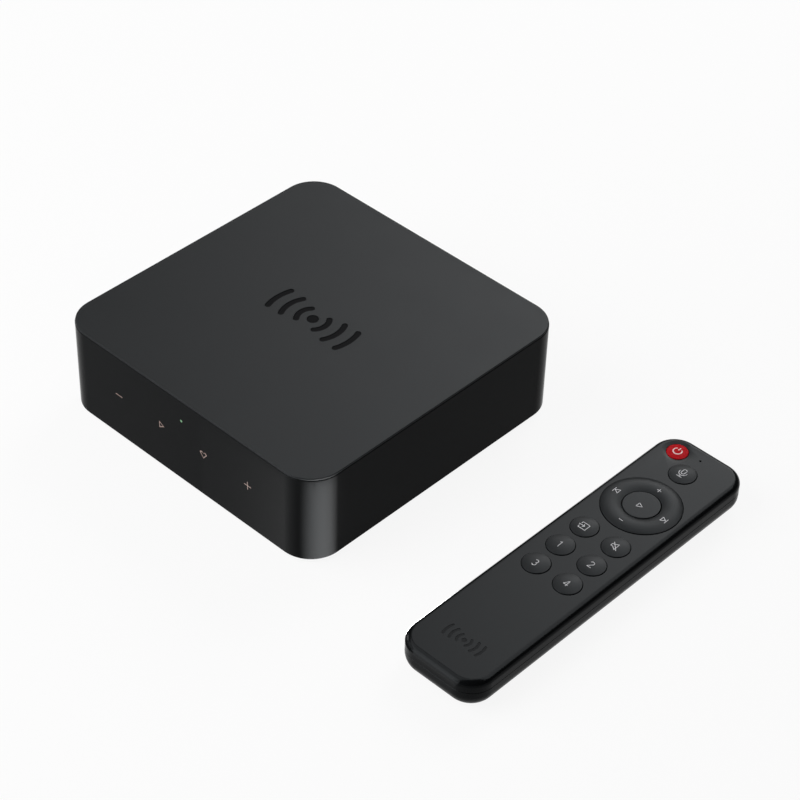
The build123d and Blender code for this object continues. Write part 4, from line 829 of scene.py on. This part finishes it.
PAINTED = {
    "green_board": ("main_board", "touch_board", "remote_board"),
    "tin": ("shield_can",),
    "epoxy_chip": ("processor_chip", "memory_chips", "converter_chips"),
    "grey_silicone": ("thermal_pad",),
    "moulded_black": (
        "line_out_block", "line_in_block", "coax_block",
        "optical_in_socket", "optical_out_socket", "ethernet_socket",
    ),
    "white_lamp": ("indicator_lamps",),
    "lit_sign": ("touch_signs",),
    "matt_panel": ("aerial_strips",),
    "nickel": ("battery_contacts",),
}


def smooth_group(table):
    """Makes the smooth copies of one group of solids."""
    for node, name in table.items():
        smooth_copy(node, finish(name))
    return {"FINISHED"}


class MakeCasing(bpy.types.Operator):
    """Makes the streamer's casing, cover, base and panel"""

    bl_idname = "streamer.make_casing"
    bl_label = "Casing"

    def execute(self, context):
        return smooth_group(CASING)


class MakeRear(bpy.types.Operator):
    """Makes the round and rounded pieces behind the rear panel"""

    bl_idname = "streamer.make_rear"
    bl_label = "Rear sockets"

    def execute(self, context):
        return smooth_group(REAR)


class MakeRemoteCase(bpy.types.Operator):
    """Makes the two halves of the remote, its mark and its battery door"""

    bl_idname = "streamer.make_remote_case"
    bl_label = "Remote case"

    def execute(self, context):
        return smooth_group(REMOTE_CASE)


class MakeInside(bpy.types.Operator):
    """Makes the rounded pieces inside the streamer and the remote"""

    bl_idname = "streamer.make_inside"
    bl_label = "Inside"

    def execute(self, context):
        return smooth_group(INSIDE)


class MakeRepeats(bpy.types.Operator):
    """Makes the screws, phono sleeves, cans, switches and contacts, each set from one piece"""

    bl_idname = "streamer.make_repeats"
    bl_label = "Repeated pieces"

    def execute(self, context):
        for node, name in REPEATED.items():
            repeat_node(node, finish(name))
        return {"FINISHED"}


class PaintSolids(bpy.types.Operator):
    """Gives the flat-sided solids their finishes"""

    bl_idname = "streamer.paint_solids"
    bl_label = "Flat solids"

    def execute(self, context):
        for name, nodes in PAINTED.items():
            for node in nodes:
                paint(frame["nodes"][node], finish(name))
        return {"FINISHED"}


def turned_facts(node):
    """A turned solid's centre, rings with their levels, reach, flange levels and radius above the flange."""
    middle = node_middle(node)
    rings = {}
    for vertex in frame["nodes"][node].data.vertices:
        place = vertex.co
        radius = round(math.hypot(place.x - middle.x, place.y - middle.y) / MM, 2)
        low, high = rings.get(radius, (place.z, place.z))
        rings[radius] = (min(low, place.z), max(high, place.z))
    reach = max(rings)
    low, top = rings[reach]
    radius = max(r for r, levels in rings.items() if levels[1] > top + JOIN_DISTANCE)
    return Vector((middle.x, middle.y, 0)), rings, reach, low, top, radius


def make_key(node, material, print_material, print_width):
    """One turned key and the sign printed on it."""
    centre, rings, reach, flange_low, flange_top, radius = turned_facts(node)
    low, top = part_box(node)[0][2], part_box(node)[1][2]
    stem = max(r for r, levels in rings.items() if levels[0] < low + JOIN_DISTANCE) * MM
    edge = bpy.context.scene.streamer_sizes.key_edge
    rim = radius * MM - edge
    edge_level = rings[min(rings, key=lambda r: abs(r * MM - rim))][1]
    crown = top - edge_level
    profile = [(0, low), (stem, low), (stem, flange_low), (reach * MM, flange_low)]
    profile += [(reach * MM, flange_top), (radius * MM, flange_top)]
    for step in range(EDGE_STEPS):
        turn = math.radians(90 * (1 - step / EDGE_STEPS))
        profile.append((rim + edge * math.sin(turn), edge_level - edge + edge * math.cos(turn)))
    sphere = (rim * rim + crown * crown) / (2 * crown)
    for step in range(CROWN_STEPS + 1):
        away = rim * (1 - step / CROWN_STEPS)
        profile.append((away, top - sphere + math.sqrt(sphere * sphere - away * away)))
    obj = turned(node + "_turned", profile, centre, material)
    finish_piece(obj, material, node, node)
    crown_facts = (0.0, top - sphere, sphere)
    make_print(node, PRINTS[node], crown_facts, centre, print_material, print_width)


def make_print(node, lines, crown_facts, centre, material, width):
    """The printed lines on a piece whose crown has this middle, level and radius."""
    shift = PRINT_SHIFTS.get(node, 0.0)
    lines = [[(x, y + shift) for x, y in line] for line in lines]
    thickness = bpy.context.scene.streamer_sizes.print_thickness
    sign = line_object(node + "_print", lines)
    middle, level, radius = crown_facts
    values = {
        "Line Width": width,
        "Thickness": thickness,
        "Step": PRINT_STEP,
        "Crown Radius": radius,
        "Crown Middle": middle,
        "Crown Level": level - thickness * PRINT_SINK_SHARE,
        "Centre": centre,
        "Finish": material,
    }
    use_tree(sign, shared_tree("printed_line", make_print_tree), values)
    turn_outwards(sign)
    finish_piece(sign, material, node)


class MakeKeys(bpy.types.Operator):
    """Makes the turned keys with their printed signs"""

    bl_idname = "streamer.make_keys"
    bl_label = "Keys"

    def execute(self, context):
        sizes = context.scene.streamer_sizes
        black, red = finish("black_key"), finish("red_key")
        grey, pink = finish("print_grey"), finish("print_pink")
        for node in (*SMALL_KEYS, "play_key"):
            make_key(node, black, grey, sizes.print_width)
        make_key("power_key", red, pink, sizes.power_print_width)
        return {"FINISHED"}


class MakeRing(bpy.types.Operator):
    """Makes the four-way ring with its crown and its printed signs"""

    bl_idname = "streamer.make_ring"
    bl_label = "Ring"

    def execute(self, context):
        node = "navigation_ring"
        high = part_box(node)[1]
        centre, rings, reach, flange_low, flange_top, outer = turned_facts(node)
        inner = min(rings)
        peak = ((inner + outer) / 2 * MM, high[2])
        start = (outer * MM, rings[outer][1])
        end = (inner * MM, rings[inner][1])
        crown, crown_facts = bend_points(start, peak, end, 2 * CROWN_STEPS)
        profile = [(inner * MM, flange_low), (reach * MM, flange_low), (reach * MM, flange_top)]
        profile += [(outer * MM, flange_top)] + crown + [(inner * MM, flange_low)]
        black, grey = finish("black_key"), finish("print_grey")
        obj = turned(node + "_turned", profile, centre, black, RING_TURN_STEPS)
        finish_piece(obj, black, node, node)
        lines = []
        for (side_x, side_y), strokes in RING_PRINTS.values():
            offset = (side_x * RING_PRINT_REACH, side_y * RING_PRINT_REACH + RING_PRINT_SHIFT)
            lines += [[(x + offset[0], y + offset[1]) for x, y in stroke] for stroke in strokes]
        make_print(node, lines, crown_facts, centre, grey, context.scene.streamer_sizes.print_width)
        return {"FINISHED"}


# Floor: reach in metres, gap under the part and roughness
FLOOR_REACH = 12.0
FLOOR_GAP = 0.02 * MM
FLOOR_ROUGHNESS = 0.9


def area_lamp(name, power, place, aim, side):
    """A soft square lamp that faces a point."""
    data = bpy.data.lights.new(name, "AREA")
    data.size = side
    data.energy = power
    lamp = link_object(name, data)
    lamp.location = place
    lamp.rotation_euler = (Vector(aim) - Vector(place)).to_track_quat("-Z", "Y").to_euler()
    return lamp


def make_floor_material(colour, glow_share):
    """A pale floor that the camera and reflections see as white, with the object's shadow."""
    material, tree, shader = new_material("pale_floor")
    plain = {"Base Color": (*colour, 1), "Roughness": FLOOR_ROUGHNESS, "Specular IOR Level": 0.0}
    fill(tree, shader, plain)
    glow = new(tree, "ShaderNodeEmission", {"Color": (1, 1, 1, 1), "Strength": 1.0})
    path = wire(tree, "ShaderNodeLightPath").outputs
    seen = maths(tree, "MAXIMUM", path["Is Camera Ray"], path["Is Glossy Ray"])
    seen = maths(tree, "MAXIMUM", seen, path["Is Transmission Ray"])
    share = maths(tree, "MULTIPLY", seen, glow_share)
    both = new(tree, "ShaderNodeMixShader", {0: share, 1: shader.outputs[0], 2: glow})
    fill(tree, tree.nodes["Material Output"], {"Surface": both})
    return material


def ramp(value, start, length):
    """How far a value has come along a length, from 0 to 1."""
    return min(1.0, max(0.0, (value - start) / length))


# The near upright corner of the casing and the card that it mirrors, in millimetres
CORNER_RADIUS = 14.2
CARD_REACH = 45.0
CARD_LIFT = 0.15
CARD_STEPS, CARD_LEVELS = 12, 6
CARD_GLOW = 1.15
# Turns round the corner in degrees: the card's step, the strip's start, the side's fade and its length
TURN_STEP = 2
STRIP_START = 27.0
SIDE_FADE = (6.0, 20.0)
STRIP_SHARPNESS = 1.5


def corner_glow(along, turn, stage):
    """Brightness of the card where it is mirrored at a length along the front or a turn in degrees."""
    if turn <= 0:
        return CARD_GLOW + stage.side_level * ramp(along, 0, CARD_REACH) ** 2
    side = 1.0 - ramp(turn, *SIDE_FADE)
    level = CARD_GLOW + stage.side_level * side * side * (3 - 2 * side)
    if turn > STRIP_START:
        share = ramp(turn, STRIP_START, 90 - STRIP_START)
        level += stage.strip_level * math.sin(math.pi * share) ** STRIP_SHARPNESS
    return level


def make_corner_card(stage):
    """A card on the floor that only reflections see, laid out by the mirror rule of the near corner."""
    low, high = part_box("side_housing")
    radius = CORNER_RADIUS * MM
    axis = Vector((high[0] - radius, low[1] + radius, 0))
    eye = Vector(CAMERA_PLACE)
    rows = [(step / CARD_STEPS * CARD_REACH, 0.0) for step in range(CARD_STEPS)]
    rows += [(CARD_REACH, turn) for turn in range(0, 90 + TURN_STEP, TURN_STEP)]
    levels = [high[2] * step / CARD_LEVELS for step in range(CARD_LEVELS + 1)]
    points, glow = [], []
    for along, turn in rows:
        angle = math.radians(turn)
        normal = Vector((math.sin(angle), -math.cos(angle), 0))
        foot = axis + normal * radius + Vector(((along - CARD_REACH) * MM, 0, 0))
        for level in levels:
            place = foot + Vector((0, 0, level))
            view = (eye - place).normalized()
            ray = 2 * normal.dot(view) * normal - view
            hit = place + ray * (level / -ray.z)
            points.append((hit.x, hit.y, CARD_LIFT * MM))
            glow.append(corner_glow(along, turn, stage))
    card_mesh("corner_card", points, glow, len(levels))


def card_mesh(name, points, glow, row, one_sided=False):
    """A card from rows of points that shines by its glow values and that only reflections see."""
    faces = [
        (first, first + 1, first + row + 1, first + row)
        for first in range(len(points) - row)
        if first % row < row - 1
    ]
    card = mesh_object(name, points, faces=faces)
    layer = card.data.attributes.new("glow", "FLOAT", "POINT")
    layer.data.foreach_set("value", glow)
    material, tree, _ = new_material(name)
    level = wire(tree, "ShaderNodeAttribute", attribute_name="glow").outputs["Fac"]
    light = new(tree, "ShaderNodeEmission", {"Strength": level})
    if one_sided:
        back = wire(tree, "ShaderNodeNewGeometry").outputs["Backfacing"]
        clear = new(tree, "ShaderNodeBsdfTransparent")
        light = new(tree, "ShaderNodeMixShader", {0: back, 1: light, 2: clear})
    fill(tree, tree.nodes["Material Output"], {"Surface": light})
    paint(card, material)
    for ray in ("camera", "diffuse", "transmission", "shadow"):
        setattr(card, "visible_" + ray, False)


# Columns of the sheen card: place across the stage, near edge and far edge, in metres
SHEEN_COLUMNS = (
    (-1.18, 0.587, 0.587),
    (-1.0, 0.407, 0.767),
    (-0.82, 0.227, 0.947),
    (-0.65, 0.057, 1.117),
    (-0.55, 0.157, 1.217),
    (-0.46, 0.247, 1.307),
    (-0.39, 0.317, 1.377),
    (-0.36, 0.347, 1.375),
    (-0.28, 0.3294, 1.295),
    (-0.2, 0.3118, 1.215),
    (-0.1, 0.2898, 1.115),
    (0.0, 0.27, 1.015),
    *((x, 0.27, 0.95) for x in (0.2, 0.4, 0.6, 0.8, 1.0, 1.15)),
)
SHEEN_ROWS = 8
SHEEN_HEIGHT, SHEEN_SLOPE = 1.10, 0.42
SHEEN_TOP_SHARE = 0.74
# Start and length in metres of the sheen's rise, its fade to the edge level and its lift over the remote
SHEEN_RISE = (-0.32, 1.02)
SHEEN_FADE = (-0.30, 0.20)
SHEEN_LIFT = (-0.46, 0.07)


def make_sheen_card(stage):
    """A sloped card up behind the object, brighter to the right, for the sheen of the flat tops."""
    points, glow = [], []
    for x, near, far in SHEEN_COLUMNS:
        for row in range(SHEEN_ROWS + 1):
            y = near + (far - near) * row / SHEEN_ROWS
            across, along = (x + y) * math.sqrt(0.5), (y - x) * math.sqrt(0.5)
            points.append((x, y, SHEEN_HEIGHT - SHEEN_SLOPE * along))
            level = stage.sheen_level * min(SHEEN_TOP_SHARE, ramp(across, *SHEEN_RISE))
            level += ramp(x, *SHEEN_FADE) * (min(level, stage.edge_level) - level)
            glow.append(level * (1 + ramp(x, *SHEEN_LIFT) * (stage.remote_lift - 1)))
    card_mesh("sheen_card", points, glow, SHEEN_ROWS + 1)


# Rows of the card in front and overhead: left and right edge, place along Y and Z, share of its glow
NEAR_ROWS = (
    (-0.75, 0.05, 0.20, 0.85, 1.0),
    (-0.75, 0.05, -0.45, 0.85, 1.0),
    (-0.75, 0.05, -1.20, 0.85, 1.2),
    (-0.75, 0.15, -1.27, 0.001, 1.35),
    (-0.12, 0.15, -0.30, 0.001, 1.35),
    (0.09, 0.15, -0.126, 0.001, 1.0),
    (0.10, 0.15, -0.0955, 0.001, 0.64),
    (0.10, 0.15, -0.0905, 0.001, 0.4),
    (0.10, 0.15, -0.088, 0.001, 0.2),
)
# Corners of the other cards along X, Y and Z, with the glow of a flag's front
LEFT_CARD = ((-0.95,), (-0.30, 0.15), (0.04, 0.50))
FLAGS = {
    "remote_flag": ((0.117,), (-0.072, -0.105), (0.001, 0.012), 0.0),
    "right_flag": ((0.0705, 0.125), (-0.052,), (0.0005, 0.040), 1.0),
    "front_flag": ((0.052,), (-0.125, -0.0705), (0.0005, 0.040), 1.0),
}


def make_near_cards(stage):
    """Cards in front and on the left, for the rounded near end of the remote."""
    points = [(row[side], row[2], row[3]) for side in (0, 1) for row in NEAR_ROWS]
    card_mesh("near_card", points, [stage.near_level * row[-1] for row in NEAR_ROWS] * 2, len(NEAR_ROWS))
    points = list(product(*LEFT_CARD))
    card_mesh("left_card", points, [stage.left_level] * len(points), 2)


def make_flags():
    """Small cards that hide the bright strip from the remote and, seen from other sides, from the walls."""
    for name, (*places, glow) in FLAGS.items():
        points = list(product(*places))
        card_mesh(name, points, [glow] * len(points), 2, one_sided=True)


# Lamps: place, point that it faces and length of a side, in metres
BACK_LAMP = ((-0.16, 0.95, 0.72), (0.05, 0, 0), 0.6)
FRONT_LAMP = ((-0.50, -0.65, 0.56), (0.05, 0, 0), 1.0)


def make_floor(stage):
    """The pale floor, close under the part."""
    level = cad_low[2] - FLOOR_GAP
    corners = [(x * FLOOR_REACH, y * FLOOR_REACH, level) for x, y in ((-1, -1), (1, -1), (1, 1), (-1, 1))]
    floor = mesh_object("floor", corners, faces=[(0, 1, 2, 3)])
    paint(floor, make_floor_material(stage.floor, stage.floor_glow))


def make_world(scene, level):
    """Plain white surroundings."""
    scene.world = scene.world or bpy.data.worlds.new("studio")
    scene.world.use_nodes = True
    tree = scene.world.node_tree
    tree.nodes.clear()
    plain = new(tree, "ShaderNodeBackground", {"Color": (1, 1, 1, 1), "Strength": level})
    wire(tree, "ShaderNodeOutputWorld", {"Surface": plain})


def make_camera(scene, lens):
    """The camera of the photograph."""
    data = bpy.data.cameras.new("camera")
    data.lens = lens
    data.sensor_width = SENSOR_WIDTH
    data.clip_start = CLIP_START
    camera = link_object("camera", data)
    axes = Matrix(CAMERA_AXES).transposed().to_4x4()
    camera.matrix_world = Matrix.Translation(CAMERA_PLACE) @ axes
    scene.camera = camera


class MakeStage(bpy.types.Operator):
    """Makes the pale floor, the lamps, the surroundings and the camera"""

    bl_idname = "streamer.make_stage"
    bl_label = "Stage"

    def execute(self, context):
        scene = context.scene
        stage = scene.streamer_stage
        make_floor(stage)
        make_corner_card(stage)
        make_sheen_card(stage)
        make_near_cards(stage)
        make_flags()
        make_world(scene, stage.world_level)
        back = area_lamp("back_lamp", stage.back_power, *BACK_LAMP)
        back.visible_glossy = False
        area_lamp("front_lamp", stage.front_power, *FRONT_LAMP)
        make_camera(scene, stage.lens)
        scene.view_settings.view_transform = "Standard"
        return {"FINISHED"}


class STREAMER_PT_pieces(bpy.types.Panel):
    """The steps that make the streamer and its remote"""

    bl_idname = "STREAMER_PT_pieces"
    bl_label = "Music streamer"
    bl_space_type = "VIEW_3D"
    bl_region_type = "UI"
    bl_category = "Streamer"

    def draw(self, context):
        for step in STEPS:
            self.layout.operator(step.bl_idname)


STEPS = (
    MakeStage,
    MakeCasing,
    MakeRear,
    MakeInside,
    MakeRepeats,
    PaintSolids,
    MakeRemoteCase,
    MakeKeys,
    MakeRing,
)
GROUPS = {
    "streamer_sizes": StreamerSizes,
    "streamer_colours": StreamerColours,
    "streamer_stage": StageSettings,
}


def register():
    """Registers the settings, the steps and the panel."""
    for kind in (*GROUPS.values(), *STEPS, STREAMER_PT_pieces):
        bpy.utils.register_class(kind)
    for name, kind in GROUPS.items():
        setattr(bpy.types.Scene, name, PointerProperty(type=kind))


def unregister():
    """Removes what register added."""
    for name in GROUPS:
        delattr(bpy.types.Scene, name)
    for kind in (STREAMER_PT_pieces, *reversed(STEPS), *reversed(GROUPS.values())):
        bpy.utils.unregister_class(kind)


def main():
    """Makes every piece in order."""
    register()
    for step in STEPS:
        group, name = step.bl_idname.split(".")
        getattr(getattr(bpy.ops, group), name)()


if __name__ == "__main__":
    main()
